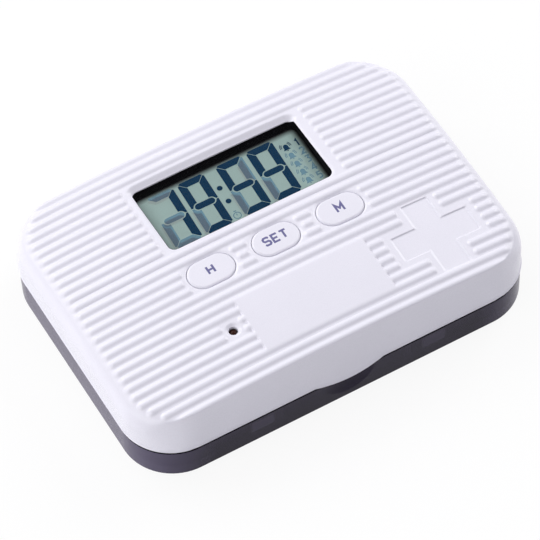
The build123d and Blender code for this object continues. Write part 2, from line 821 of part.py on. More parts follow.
# Keys with their retaining flanges and stems, and the plungers that they push
key_crown = crown_at(-key_rise)
for key_name, key_x in zip(("hour_key", "set_key", "minute_key"), key_xs):
    with BuildPart() as key_cap:
        with BuildSketch(Plane.XY.offset(key_flange_z)):
            with Locations((key_x, key_y)):
                SlotOverall(key_length, key_width)
        extrude(amount=crown_z)
        add(key_crown, mode=Mode.INTERSECT)
        fillet(key_cap.faces().sort_by(Axis.Z)[-1].edges(), key_edge)
        with BuildSketch(Plane.XY.offset(key_flange_z)):
            with Locations((key_x, key_y)):
                SlotOverall(key_length + 2 * key_flange_reach, key_width + 2 * key_flange_reach)
        extrude(amount=-key_flange)
        with Locations((key_x, key_y, plunger_top_z)):
            Cylinder(stem_radius, key_flange_z - plunger_top_z, align=UPWARDS)
    key_cap.part.label = key_name
    export_step(key_cap.part, f"parts/{key_name}.step")

    with BuildPart() as plunger:
        with Locations((key_x, key_y, switch_top_z - plunger_seat)):
            Cylinder(plunger_radius, plunger_seat + plunger_rise, align=UPWARDS)
    plunger.part.label = f"{key_name}_plunger"
    export_step(plunger.part, f"parts/{key_name}_plunger.step")

# Bodies of the three push switches
with BuildPart() as switch_bodies:
    with Locations(*[(x, key_y, board_top_z) for x in key_xs]):
        Box(switch_size, switch_size, switch_height, align=UPWARDS)
    well_z = switch_top_z - plunger_seat - key_travel - plunger_room
    with Locations(*[(x, key_y, well_z) for x in key_xs]):
        Cylinder(
            plunger_radius + plunger_clearance, switch_height, align=UPWARDS, mode=Mode.SUBTRACT
        )
switch_bodies.part.label = "switch_bodies"
export_step(switch_bodies.part, "parts/switch_bodies.step")

# Indicator light, standing on two legs in the board's arm
light_top_z = surface_z(light_x, light_y) - light_recess
light_foot_z = light_top_z - light_height
with BuildPart() as indicator_light:
    with Locations((light_x, light_y, light_foot_z)):
        Cylinder(light_radius, light_height - light_radius, align=UPWARDS)
        Cylinder(light_radius + light_flange, light_flange_height, align=UPWARDS)
    with Locations((light_x, light_y, light_top_z - light_radius)):
        Sphere(light_radius)
    leg_length = light_foot_z - board_z + leg_tail
    with Locations(*[(light_x + side * leg_pitch / 2, light_y, light_foot_z) for side in (-1, 1)]):
        Box(leg_width, leg_width, leg_length, align=(Align.CENTER, Align.CENTER, Align.MAX))
indicator_light.part.label = "indicator_light"
export_step(indicator_light.part, "parts/indicator_light.step")

# Under the board: the clock chip, its crystal and the buzzer
with BuildPart() as clock_chip:
    with Locations((0, chip_y, board_z)):
        Box(chip_size, chip_size, chip_height, align=(Align.CENTER, Align.CENTER, Align.MAX))
clock_chip.part.label = "clock_chip"
export_step(clock_chip.part, "parts/clock_chip.step")

with BuildPart() as crystal:
    with Locations((crystal_x, chip_y, board_z - crystal_radius)):
        Cylinder(crystal_radius, crystal_length, rotation=(0, 90, 0))
crystal.part.label = "crystal"
export_step(crystal.part, "parts/crystal.step")

with BuildPart() as buzzer:
    with Locations((buzzer_x, sound_y, board_z)):
        Cylinder(buzzer_radius, buzzer_height, align=(Align.CENTER, Align.CENTER, Align.MAX))
    with Locations((buzzer_x, sound_y, board_z - buzzer_height)):
        Cylinder(buzzer_port, buzzer_height / 2, align=UPWARDS, mode=Mode.SUBTRACT)
buzzer.part.label = "buzzer"
export_step(buzzer.part, "parts/buzzer.step")
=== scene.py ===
"""Dresses the smart pill box: finishes, display artwork, key marks, floor, light and camera."""

import math

import bmesh
import bpy
import numpy as np
from mathutils import Matrix, Vector


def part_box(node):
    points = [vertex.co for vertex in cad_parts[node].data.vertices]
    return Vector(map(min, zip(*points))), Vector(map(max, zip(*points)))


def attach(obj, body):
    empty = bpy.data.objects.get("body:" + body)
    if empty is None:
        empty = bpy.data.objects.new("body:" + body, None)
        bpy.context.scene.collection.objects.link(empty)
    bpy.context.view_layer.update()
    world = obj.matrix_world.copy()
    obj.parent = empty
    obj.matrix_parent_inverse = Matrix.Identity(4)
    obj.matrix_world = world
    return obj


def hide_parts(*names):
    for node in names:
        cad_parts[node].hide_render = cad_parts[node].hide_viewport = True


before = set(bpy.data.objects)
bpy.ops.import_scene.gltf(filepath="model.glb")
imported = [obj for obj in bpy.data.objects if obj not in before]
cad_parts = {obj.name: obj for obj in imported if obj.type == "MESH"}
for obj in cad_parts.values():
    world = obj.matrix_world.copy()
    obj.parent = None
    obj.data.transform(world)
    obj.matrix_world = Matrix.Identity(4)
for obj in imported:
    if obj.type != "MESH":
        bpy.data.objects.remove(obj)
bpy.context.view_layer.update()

bl_info = {
    "name": "Smart Pill Box",
    "version": (1, 0, 0),
    "blender": (4, 5, 0),
    "location": "View3D > Sidebar > Pill Box",
    "description": "Dresses a six-compartment pill box with a clock display",
    "category": "Object",
}

MM = 0.001
TINY = 1e-9


def middle(name):
    """Middle of a CAD node's box."""
    low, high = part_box(name)
    return (low + high) / 2


glass_low, glass_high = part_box("display_glass")
window_centre = middle("display_glass")
tray_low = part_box("base_tray")[0]
lid_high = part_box("lid_shell")[1]
pins_low, pins_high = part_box("hinge_pins")
key_low, key_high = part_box("set_key")

# The lid's outline and crowned top, in millimetres like everything that follows up to the looks
TRAY_INSET = 0.3
HALF_LENGTH = lid_high.x / MM
HALF_WIDTH = -tray_low.y / MM + TRAY_INSET
CORNER = 17.5
SEAM = 12.0
CROWN_TOP = 29.4
CROWN_RADIUS_X = 850.0
CROWN_RADIUS_Y = 505.0
WALL = 1.8

# Its side walls: round shoulders at the ends, a tight edge over a leaning wall at front and back
SHOULDER = 6.1
EDGE_INSET = 2.45
EDGE_SOFTNESS = 1.0
CAP_INSET = 2.6
FACING = (0.55, 0.99)
WALL_RINGS = 16
ARC_SHARE = 0.6
TIGHT_POWER = 1.6
RIM_ROUND = 0.14
RIM_FLARE = 0.3
RIM_BAND = 0.6
RIM_ROOT = 0.5
CREASE = 38

# Inside of the hollow lid, and the grid that its outside is drawn on
ROOF_DROP = 4.0
ROOF_FOOT_INSET = 4.2
ROOF_INSET = 5.5
MESH_STEP = 0.34
EDGE_SLOPE = 0.5
SHARP_SLOPE = 0.36
COARSE = 8
STRETCH_FROM = 48.0

# Ribs, counted from the back, with one more that the wall cuts off at front and back
RIB_COUNT = 26
RIB_PITCH = 3.37
RIB_WIDTH = 2.6
RIB_HEIGHT = 0.6
RIB_FULLNESS = 0.95
RIB_INSET = 3.3
NOSE = 1.0
END_NOSE = 2.0
EDGE_RIB_REACH = 58.5
EDGE_RIB_HEIGHT = 0.42

# Window, keys, light hole, pad and plus sign
WINDOW_X, WINDOW_Y = -0.65, 20.9
WINDOW_HALF = (28.7, 13.5)
WINDOW_RADIUS = 2.3
WINDOW_MOAT = 2.9
# Painted shadow of the window's back and right walls on the display: where it starts and how softly it fades
SHADE_BACK = 32.4
SHADE_RIGHT = 27.6
SHADE_SOFT = 1.9
WINDOW_STEP = 0.32
BEVEL_WIDTH = 1.9
BEVEL_DROP = 1.3
BEVEL_TURN = 0.9
OPENING_FALL = 0.25
OPENING_EASE = 0.7
LINER = 0.35
LINER_SHOWS = 0.12
LINER_LEAN = (0.25, 0.9)
LINER_LEDGE = 0.05
LINER_PLAY = 0.03
LINER_DROP = 0.02
LINER_FOOT = 0.01
KEYS = {name: tuple((middle(name) / MM).xy) for name in ("hour_key", "set_key", "minute_key")}
KEY_FLANGE, KEY_GAP = 1.2, 0.15
KEY_HALF = tuple(half / MM - KEY_FLANGE + KEY_GAP for half in ((key_high - key_low) / 2).xy)
KEY_MOAT = 1.3
KEY_STEP = 0.35
KEY_RISE = key_high.z / MM - CROWN_TOP
LIGHT_X, LIGHT_Y = tuple((middle("indicator_light") / MM).xy)
LIGHT_RADIUS = 1.47
LIGHT_SINK = 0.7
LIGHT_DISH = 2.35
LIGHT_MOAT = 1.9
PAD_X = 22.5
PAD_ROWS = (18, 24)
PAD_RISE = 0.03
PLUS_X, PLUS_Y = 43.3, -27.3
PLUS_SPAN, PLUS_ARM = 26.6, 9.1
PLUS_DEPTH = 0.38
PLUS_MOAT = 2.1

# Pale patches painted where the latch tabs show through the tray's front, and the painted shadow line under
# the lid
TAB_X, TAB_HALF = 30.0, 4.5
TAB_Z, TAB_RISE = 7.5, 3.0
RIM_SHADE, RIM_FADE = 1.2, 0.2

# Thumb lip and hinge
LIP_HALF = 11.9
LIP_REACH = 0.95
LIP_DROP = 1.1
LIP_FULL = 0.4
LIP_RISE = 3.2
HINGE_X = 36.0
HINGE_Y = (pins_low.y + pins_high.y) / 2 / MM
HINGE_Z = (pins_low.z + pins_high.z) / 2 / MM
KNUCKLE_RADIUS, KNUCKLE_WIDTH = lid_high.y / MM - HINGE_Y, 6.0
KNUCKLE_WEB = 2.3
EAR_OFFSET, EAR_WIDTH, EAR_GAP = 5.8, 5.0, 0.3
PIN_RADIUS = 0.85


def crown(x, y):
    """Height of the lid's plain crowned top."""
    ring = CROWN_RADIUS_X - CROWN_RADIUS_Y + np.sqrt(CROWN_RADIUS_Y**2 - np.square(y))
    return CROWN_TOP - CROWN_RADIUS_X + np.sqrt(ring**2 - np.square(x))


def ease(value, low, high):
    """A smooth rise from 0 at low to 1 at high."""
    t = np.clip((value - low) / (high - low), 0, 1)
    return t * t * (3 - 2 * t)


def row_y(row):
    """Centre line of a rib."""
    return ((RIB_COUNT - 1) / 2 - row) * RIB_PITCH


def blocked_spans(y):
    """The stretches of a rib's line that other features take."""
    spans = []
    back = WINDOW_Y + WINDOW_HALF[1] + BEVEL_WIDTH + RIB_WIDTH / 4
    if WINDOW_Y - WINDOW_HALF[1] - RIB_WIDTH / 4 < y < back:
        spans.append((-WINDOW_HALF[0] - WINDOW_MOAT, WINDOW_HALF[0] + WINDOW_MOAT))
    for key_x, key_y in KEYS.values():
        if abs(y - key_y) < KEY_HALF[1] - RIB_WIDTH / 4:
            half = KEY_HALF[0] - KEY_HALF[1] + math.sqrt((KEY_HALF[1] + KEY_MOAT) ** 2 - (y - key_y) ** 2)
            spans.append((key_x - half, key_x + half))
    if abs(y - LIGHT_Y) < LIGHT_RADIUS + RIB_WIDTH / 4:
        half = math.sqrt((LIGHT_RADIUS + LIGHT_MOAT) ** 2 - (y - LIGHT_Y) ** 2)
        spans.append((LIGHT_X - half, LIGHT_X + half))
    if row_y(PAD_ROWS[1]) + RIB_PITCH / 2 < y < row_y(PAD_ROWS[0]) - RIB_PITCH / 2:
        spans.append((-PAD_X + NOSE, PAD_X - NOSE))
    half = 0
    if abs(y - PLUS_Y) < PLUS_ARM / 2 + PLUS_MOAT / 2:
        half = PLUS_SPAN / 2 + PLUS_MOAT
    elif abs(y - PLUS_Y) < PLUS_SPAN / 2 + PLUS_MOAT / 4:
        half = PLUS_ARM / 2 + PLUS_MOAT
    if half:
        spans.append((PLUS_X - half, PLUS_X + half))
    return sorted(spans)


def rib_spans(row):
    """Start, end and their nose lengths for each piece of a rib."""
    y = row_y(row)
    if not 0 <= row < RIB_COUNT:
        return [(-EDGE_RIB_REACH, EDGE_RIB_REACH, 3 * END_NOSE, 3 * END_NOSE)]
    past = max(0.0, abs(y) - (HALF_WIDTH - CORNER))
    end = HALF_LENGTH - CORNER + math.sqrt((CORNER - RIB_INSET) ** 2 - past**2)
    spans, left, nose = [], -end, END_NOSE
    for low, high in blocked_spans(y):
        if low - left > RIB_WIDTH:
            spans.append((left, low, nose, NOSE))
        left, nose = high, NOSE
    return spans + [(left, end, nose, END_NOSE)]


def ribs(x, y):
    """Height of the ribs over the plain top."""
    height = np.zeros_like(x)
    rows = np.clip(np.rint((RIB_COUNT - 1) / 2 - y / RIB_PITCH), -1, RIB_COUNT)
    for row in range(-1, RIB_COUNT + 1):
        here = rows == row
        tall = RIB_HEIGHT if 0 <= row < RIB_COUNT else EDGE_RIB_HEIGHT
        for start, end, start_nose, end_nose in rib_spans(row):
            before = np.maximum(start + start_nose - x[here], 0) / start_nose
            after = np.maximum(x[here] - end + end_nose, 0) / end_nose
            across = np.abs(y[here] - row_y(row)) / (RIB_WIDTH / 2)
            away = np.minimum(np.hypot(across, np.maximum(before, after)), 1)
            height[here] = np.maximum(height[here], tall * (1 - away**2) ** RIB_FULLNESS)
    return height


def bevel(x, y):
    """How far the slope behind the window lies under the plain top."""
    over_x = np.maximum(np.abs(x - WINDOW_X) - WINDOW_HALF[0] + WINDOW_RADIUS, 0)
    over_y = np.maximum(y - WINDOW_Y - WINDOW_HALF[1] + WINDOW_RADIUS, 0)
    reach = np.hypot(over_x, over_y)
    fall = np.clip(1 - (reach - WINDOW_RADIUS) / BEVEL_WIDTH, 0, 1)
    return BEVEL_DROP * fall * ease(over_y / np.maximum(reach, TINY), 0, BEVEL_TURN)


def skin(x, y):
    """Height of the plain top with the slope behind the window, at one point."""
    return float(crown(x, y) - bevel(np.array(x), np.array(y)))


def beyond(x, y, centre, half, radius):
    """Distance outside a round-cornered opening."""
    over_x = np.maximum(np.abs(x - centre[0]) - half[0] + radius, 0)
    over_y = np.maximum(np.abs(y - centre[1]) - half[1] + radius, 0)
    return np.hypot(over_x, over_y) - radius


def opening_fall(x, y):
    """How far the surface rolls down towards the keys, and towards the window except at its back."""
    window = beyond(x, y, (WINDOW_X, WINDOW_Y), WINDOW_HALF, WINDOW_RADIUS)
    fall = (1 - ease(window, 0, OPENING_EASE)) * ease(WINDOW_Y + WINDOW_HALF[1] - y, 0, OPENING_EASE)
    for place in KEYS.values():
        fall = np.maximum(fall, 1 - ease(beyond(x, y, place, KEY_HALF, KEY_HALF[1]), 0, OPENING_EASE))
    return OPENING_FALL * fall


def relief(x, y):
    """Height over the plain crowned top: ribs, pad, plus sign, slopes and light dish."""
    height = ribs(x, y)
    pad = (np.abs(x) < PAD_X) & (y < row_y(PAD_ROWS[0])) & (y > row_y(PAD_ROWS[1]))
    height = np.where(pad, RIB_HEIGHT + PAD_RISE, height)
    across, along = np.abs(x - PLUS_X), np.abs(y - PLUS_Y)
    reach, arm = PLUS_SPAN / 2, PLUS_ARM / 2
    plus = ((across < reach) & (along < arm)) | ((across < arm) & (along < reach))
    height = np.where(plus, -PLUS_DEPTH, height)
    far = np.hypot(x - LIGHT_X, y - LIGHT_Y)
    dish = LIGHT_SINK * np.clip((LIGHT_DISH - far) / (LIGHT_DISH - LIGHT_RADIUS), 0, 1)
    return height - bevel(x, y) - opening_fall(x, y) - dish


def inset_facing(x, y):
    """Distance inwards from the outline, and how squarely it faces the front or back there."""
    over_x = np.abs(x) - (HALF_LENGTH - CORNER)
    over_y = np.abs(y) - (HALF_WIDTH - CORNER)
    reach = np.hypot(np.maximum(over_x, 0), np.maximum(over_y, 0))
    inset = CORNER - reach - np.minimum(np.maximum(over_x, over_y), 0)
    facing = np.where(reach > 0, np.maximum(over_y, 0) / np.maximum(reach, TINY), over_y > over_x)
    return inset, ease(facing, *FACING)


def tight_drop(x, y, inset):
    """Fall of the surface over the tight front and back edges."""
    slope = (crown(x, y) - SEAM) / EDGE_INSET
    fall = (EDGE_INSET - inset) * slope
    return (fall + np.sqrt(fall**2 + EDGE_SOFTNESS**2)) / 2


def lid_top(x, y):
    """Height of the lid's outside anywhere within the cap's outline."""
    inset, facing = inset_facing(x, y)
    soft = SHOULDER - np.sqrt(SHOULDER**2 - np.clip(SHOULDER - inset, 0, SHOULDER) ** 2)
    drop = soft + (tight_drop(x, y, inset) - soft) * facing
    return crown(x, y) + relief(x, y) - drop


def grid_lines(reach, edges):
    """Even positions from -reach to reach, with a pair of them at each (edge, width of its slope)."""
    count = COARSE * round(2 * reach / MESH_STEP / COARSE)
    lines = np.linspace(-reach, reach, count + 1)
    for edge, slope in edges:
        after = int(np.searchsorted(lines, edge))
        lines[after - 1], lines[after] = edge - slope / 2, edge + slope / 2
    return lines


def cap_points(columns, rows, inset):
    """A grid stretched over a round-cornered outline, as arrays of x and y."""
    radius = CORNER - inset
    scale = (HALF_LENGTH - inset) / columns[-1]
    y = np.repeat((rows * (HALF_WIDTH - inset) / rows[-1])[:, None], len(columns), 1)
    past = np.maximum(np.abs(y) - (HALF_WIDTH - CORNER), 0)
    end = HALF_LENGTH - CORNER + np.sqrt(np.maximum(radius**2 - past**2, 0))
    x = np.repeat((columns * scale)[None, :], len(rows), 0)
    outer = STRETCH_FROM + (np.abs(x) - STRETCH_FROM) * (end - STRETCH_FROM) / (
        HALF_LENGTH - inset - STRETCH_FROM
    )
    return np.where(np.abs(x) > STRETCH_FROM, np.sign(x) * outer, x), y


def rim_loop(columns, rows):
    """Rows and columns of a grid's places once round its border, from the front left corner."""
    front = [(0, j) for j in range(columns - 1)]
    right = [(i, columns - 1) for i in range(rows - 1)]
    back = [(rows - 1, j) for j in range(columns - 1, 0, -1)]
    left = [(i, 0) for i in range(rows - 1, 0, -1)]
    return tuple(np.array(front + right + back + left).T)


def bridge(upper, lower):
    """Faces between two closed rings of vertex numbers."""
    return np.stack([upper, lower, np.roll(lower, -1), np.roll(upper, -1)], 1).tolist()


def sheet(first, rows, columns, turned=False):
    """Faces of a grid of vertices numbered from first, turned over for an inside."""
    corner = first + np.arange((rows - 1) * columns).reshape(-1, columns)[:, :-1].ravel()
    around = [corner, corner + 1, corner + columns + 1, corner + columns]
    return np.stack(around[:1] + around[:0:-1] if turned else around, 1).tolist()


def wall_rings(x, y):
    """The outside of the walls as rings of (x, y, z), from the cap's border down to the rim."""
    centre_x = np.clip(x, CORNER - HALF_LENGTH, HALF_LENGTH - CORNER)
    centre_y = np.clip(y, CORNER - HALF_WIDTH, HALF_WIDTH - CORNER)
    length = np.hypot(x - centre_x, y - centre_y)
    out_x, out_y = (x - centre_x) / length, (y - centre_y) / length
    facing = ease(np.abs(out_y), *FACING)
    lip = np.where(y < 0, np.maximum(1 - (x / LIP_HALF) ** 2, 0), 0)
    first_turn = math.asin(1 - CAP_INSET / SHOULDER)

    def place(inset, height, push=1.0):
        low = 1 - ease(height, SEAM + LIP_FULL, SEAM + LIP_RISE)
        reach = CAP_INSET - inset + LIP_REACH * lip * low * push
        return np.stack([x + out_x * reach, y + out_y * reach, height - LIP_DROP * lip * low], 1)

    rings = []
    for i in range(1, WALL_RINGS + 1):
        t = i / WALL_RINGS
        turn = first_turn + (math.pi / 2 - first_turn) * min(t / ARC_SHARE, 1)
        tight = CAP_INSET * (1 - t**TIGHT_POWER)
        inset = SHOULDER * (1 - math.sin(turn)) * (1 - facing) + tight * facing
        inset = RIM_FLARE + inset * (1 - RIM_FLARE / CAP_INSET)
        at_x, at_y = x + out_x * (CAP_INSET - inset), y + out_y * (CAP_INSET - inset)
        top = crown(at_x, at_y)
        down = max(0, (t - ARC_SHARE) / (1 - ARC_SHARE))
        soft_z = (top - SHOULDER * (1 - math.cos(turn))) * (1 - down) + (SEAM + RIM_BAND) * down
        sharp_z = np.maximum(top + ribs(at_x, at_y) - tight_drop(at_x, at_y, tight), SEAM + RIM_BAND)
        rings.append(place(inset, soft_z * (1 - facing) + sharp_z * facing))
    seam = np.full_like(x, SEAM)
    rings.append(place(0, seam + RIM_BAND / 2))
    rings.append(place(0, seam + RIM_ROUND))
    rings.append(place(RIM_ROUND, seam))
    rings.append(place(2 * RIM_ROUND, seam, 0.0))
    root = place(RIM_ROOT, seam, 0.0)
    root[:, 2] = SEAM
    rings.append(root)
    return rings


def lid_mesh():
    """The hollow lid as one closed mesh, before its openings are cut."""
    plus_edges = [s * d / 2 for s in (-1, 1) for d in (PLUS_SPAN, PLUS_ARM)]
    places = [-PAD_X, PAD_X] + [PLUS_X + edge for edge in plus_edges]
    columns = grid_lines(HALF_LENGTH - CAP_INSET, [(place, EDGE_SLOPE) for place in places])
    slopes = [(PLUS_Y + edge, SHARP_SLOPE if edge > 0 else EDGE_SLOPE) for edge in plus_edges]
    rows = grid_lines(HALF_WIDTH - CAP_INSET, slopes)
    x, y = cap_points(columns, rows, CAP_INSET)
    points = [np.stack([x, y, lid_top(x, y)], 2).reshape(-1, 3)]
    faces = sheet(0, len(rows), len(columns))
    loop = rim_loop(len(columns), len(rows))
    ring = loop[0] * len(columns) + loop[1]
    total = len(points[0])
    for new in wall_rings(x[loop], y[loop]):
        below = total + np.arange(len(ring))
        faces += bridge(ring, below)
        points.append(new)
        ring, total = below, total + len(ring)
    few_columns, few_rows = columns[::COARSE], rows[::COARSE]
    few = rim_loop(len(few_columns), len(few_rows))
    count = len(few[0])
    inner = None
    for inset, height in (
        (WALL, lambda a, b: np.full_like(a, SEAM)),
        (WALL, lambda a, b: np.full_like(a, SEAM + ROOF_DROP)),
        (ROOF_FOOT_INSET, lambda a, b: crown(a, b) - ROOF_DROP),
    ):
        a, b = (grid[few] for grid in cap_points(few_columns, few_rows, inset))
        above = total + np.arange(count)
        if inner is None:
            for k in range(count):
                outer = [ring[(k * COARSE + n) % len(ring)] for n in range(COARSE, -1, -1)]
                faces.append([int(v) for v in [above[k], above[(k + 1) % count]] + outer])
        else:
            faces += bridge(inner, above)
        points.append(np.stack([a, b, height(a, b)], 1))
        inner, total = above, total + count
    x, y = cap_points(few_columns, few_rows, ROOF_INSET)
    points.append(np.stack([x, y, crown(x, y) - WALL], 2).reshape(-1, 3))
    faces += bridge(inner, total + few[0] * len(few_columns) + few[1])
    faces += sheet(total, len(few_rows), len(few_columns), True)
    return np.concatenate(points), faces


def round_box(centre, half, radius, offset=0.0, steps=10):
    """Outline of a round-cornered box, grown by an offset, as a list of (x, y)."""
    radius += offset
    reach_x, reach_y = half[0] + offset - radius, half[1] + offset - radius
    points = []
    for sign_x, sign_y, start in ((1, -1, -90), (1, 1, 0), (-1, 1, 90), (-1, -1, 180)):
        points += arc_points(
            centre[0] + sign_x * reach_x, centre[1] + sign_y * reach_y, radius, start, start + 90, steps
        )
    return points


def arc_points(x, y, radius, start, end, steps):
    """Points on an arc, in degrees counter-clockwise."""
    turns = [math.radians(start + (end - start) * i / steps) for i in range(steps + 1)]
    return [(x + radius * math.cos(t), y + radius * math.sin(t)) for t in turns]


def stack_rings(rings, hollow=False):
    """A closed body through rings of (x, y, z): capped at both ends, or joined last to first."""
    body = bmesh.new()
    made = [[body.verts.new(Vector(p) * MM) for p in ring] for ring in rings]
    pairs = list(zip(made, made[1:]))
    if hollow:
        pairs.append((made[-1], made[0]))
    else:
        body.faces.new(reversed(made[0]))
        body.faces.new(made[-1])
    for low, high in pairs:
        for i in range(len(low)):
            j = (i + 1) % len(low)
            body.faces.new((low[i], low[j], high[j], high[i]))
    return body


def bar_along_x(centre, length, radius, steps=32):
    """A round bar along X."""
    x, y, z = centre
    circle = arc_points(y, z, radius, 0, 360 - 360 / steps, steps - 1)
    return stack_rings([[(x + side * length / 2, a, b) for a, b in circle] for side in (-1, 1)])


def through_cutter(centre, half, radius, chamfer=0.0, undercut=0.0):
    """A cutter for an opening, chamfered if asked, and wider again below where a liner stands."""

    def ring(offset, height):
        return [(a, b, height(a, b)) for a, b in round_box(centre, half, radius, offset)]

    rings = [ring(undercut, lambda a, b: SEAM + ROOF_DROP)]
    if undercut:
        rings.append(ring(undercut, lambda a, b: skin(a, b) - undercut - LINER_LEDGE))
        rings.append(ring(0, lambda a, b: skin(a, b) - undercut))
    if chamfer:
        rings.append(ring(0, lambda a, b: float(crown(a, b)) - chamfer))
    over = chamfer + 1 if chamfer else 0
    rings.append(ring(over, lambda a, b: float(crown(a, b)) + 1))
    return stack_rings(rings)


class Value:
    """A number that varies over a surface. Arithmetic on it adds the nodes that work it out."""

    def __init__(self, nodes, socket):
        self.nodes = nodes
        self.socket = socket

    def __add__(self, other):
        return self.nodes.maths("ADD", self, other)

    def __radd__(self, other):
        return self.nodes.maths("ADD", other, self)

    def __sub__(self, other):
        return self.nodes.maths("SUBTRACT", self, other)

    def __rsub__(self, other):
        return self.nodes.maths("SUBTRACT", other, self)

    def __mul__(self, other):
        return self.nodes.maths("MULTIPLY", self, other)

    def __rmul__(self, other):
        return self.nodes.maths("MULTIPLY", other, self)

    def __truediv__(self, other):
        return self.nodes.maths("DIVIDE", self, other)

    def __pow__(self, other):
        return self.nodes.maths("POWER", self, other)

    def __abs__(self):
        return self.nodes.maths("ABSOLUTE", self)

    def clamped(self):
        """The value held between 0 and 1."""
        return self.nodes.node("ShaderNodeClamp", "Result", {}, {"Value": self})


class Nodes:
    """A node tree, with short ways to add to it."""

    def __init__(self, tree):
        self.tree = tree

    def node(self, kind, out, settings, inputs):
        """Adds a node, applies its settings first and its inputs next, and hands back one output."""
        node = self.tree.nodes.new(kind)
        for key, value in settings.items():
            setattr(node, key, value)
        for key, value in inputs.items():
            self.feed(node.inputs[key], value)
        return Value(self, node.outputs[out])

    def feed(self, socket, value):
        """Links a value to a socket, or sets a plain number or colour on it."""
        if isinstance(value, Value):
            self.tree.links.new(value.socket, socket)
        else:
            socket.default_value = value

    def maths(self, operation, *terms):
        """One step of arithmetic."""
        return self.node("ShaderNodeMath", "Value", {"operation": operation}, dict(enumerate(terms)))

    def ray(self, kind):
        """One for light rays of a kind, nought for the others."""
        return self.node("ShaderNodeLightPath", f"Is {kind} Ray", {}, {})

    def surface(self, output, factor, first, second):
        """Links two shaders, mixed by a factor, to an output node."""
        mixed = self.node("ShaderNodeMixShader", "Shader", {}, {0: factor, 1: first, 2: second})
        self.feed(self.tree.nodes[output].inputs["Surface"], mixed)


class Paint(Nodes):
    """One material, with short ways to add the nodes that its finish needs."""

    def __init__(self, name, **constants):
        self.material = bpy.data.materials.new(name)
        self.material.use_nodes = True
        super().__init__(self.material.node_tree)
        self.shader = self.tree.nodes["Principled BSDF"]
        self.plain = Value(self, self.shader.outputs[0])
        self.set(**constants)

    def set(self, **sockets):
        """Sets or links sockets of the main shader, named with underscores for spaces."""
        for key, value in sockets.items():
            if isinstance(value, tuple) and len(value) == 3:
                value = (*value, 1.0)
            self.feed(self.shader.inputs[key.replace("_", " ")], value)

    def place(self):
        """The point on the surface, in metres in the object's own frame."""
        return self.node("ShaderNodeTexCoord", "Object", {}, {})

    def axis(self, name):
        """One coordinate of the point on the surface."""
        return self.node("ShaderNodeSeparateXYZ", name, {}, {"Vector": self.place()})

    def noise(self, size, detail=2.0, roughness=0.5, stretch=None):
        """Soft noise with features of about one size in metres, drawn out along an axis if asked."""
        vector = self.place()
        if stretch:
            vector = self.node(
                "ShaderNodeVectorMath", "Vector", {"operation": "MULTIPLY"}, {0: vector, 1: stretch}
            )
        inputs = {"Vector": vector, "Scale": 1 / size, "Detail": detail, "Roughness": roughness}
        return self.node("ShaderNodeTexNoise", "Fac", {}, inputs)

    def cells(self, size):
        """Distance to the nearest of many scattered points, in cells of about one size."""
        inputs = {"Vector": self.place(), "Scale": 1 / size}
        return self.node("ShaderNodeTexVoronoi", "Distance", {}, inputs)

    def shift(self, value, low, high, start=0.0, end=1.0):
        """Maps a value from one range to another."""
        inputs = {"Value": value, "From Min": low, "From Max": high, "To Min": start, "To Max": end}
        return self.node("ShaderNodeMapRange", "Result", {"clamp": True}, inputs)

    def blend(self, factor, first, second):
        """A colour between two others."""
        colours = [c if isinstance(c, Value) else (*c, 1.0) for c in (first, second)]
        inputs = {0: factor, 6: colours[0], 7: colours[1]}
        return self.node("ShaderNodeMix", 2, {"data_type": "RGBA"}, inputs)

    def relief(self, height, depth, strength=1.0):
        """Fine relief in the surface's normal, depth metres high."""
        inputs = {"Height": height, "Distance": depth, "Strength": strength}
        self.set(Normal=self.node("ShaderNodeBump", "Normal", {}, inputs))

    def see_through(self, tint, gloss_roughness):
        """Makes a thin clear sheet: straight-through light, with reflections at its faces."""
        through = self.node("ShaderNodeBsdfTransparent", "BSDF", {}, {"Color": (*tint, 1.0)})
        gloss = self.node("ShaderNodeBsdfGlossy", "BSDF", {}, {"Roughness": gloss_roughness})
        edge = self.node("ShaderNodeFresnel", "Fac", {}, {"IOR": 1.2})
        self.surface("Material Output", edge, through, gloss)


def satin_white(name, look):
    """White moulding with a fine eroded grain and a faint uneven sheen."""
    paint = Paint(name)
    cloud = paint.noise(12 * MM, 3.0)
    fine = paint.noise(0.14 * MM, 2.0)
    tone = tuple(look.colour)
    shade = tuple(0.965 * c for c in tone)
    paint.set(
        Base_Color=paint.blend(cloud, shade, tone),
        Roughness=paint.shift(fine, 0.3, 0.7, look.roughness - 0.04, look.roughness + 0.06),
        Specular_IOR_Level=0.42,
    )
    paint.relief(fine + 0.4 * paint.cells(0.3 * MM), look.grain * MM)
    return paint.material


def outer_wall(paint):
    """One on the upright outside of the tray, and nought on its rim, its pockets and the hinge ears."""
    over_x = paint.maths("MAXIMUM", abs(paint.axis("X")) - (HALF_LENGTH - CORNER) * MM, 0.0)
    over_y = paint.maths("MAXIMUM", abs(paint.axis("Y")) - (HALF_WIDTH - CORNER) * MM, 0.0)
    reach = (over_x * over_x + over_y * over_y) ** 0.5
    outer = paint.maths("GREATER_THAN", reach, (CORNER - TRAY_INSET - 1) * MM)
    ears = paint.maths("GREATER_THAN", reach, (CORNER - TRAY_INSET + 0.05) * MM)
    normal = paint.node("ShaderNodeTexCoord", "Normal", {}, {})
    upright = paint.node("ShaderNodeSeparateXYZ", "Z", {}, {"Vector": normal})
    return outer * (1 - ears) * paint.maths("LESS_THAN", abs(upright), 0.5)


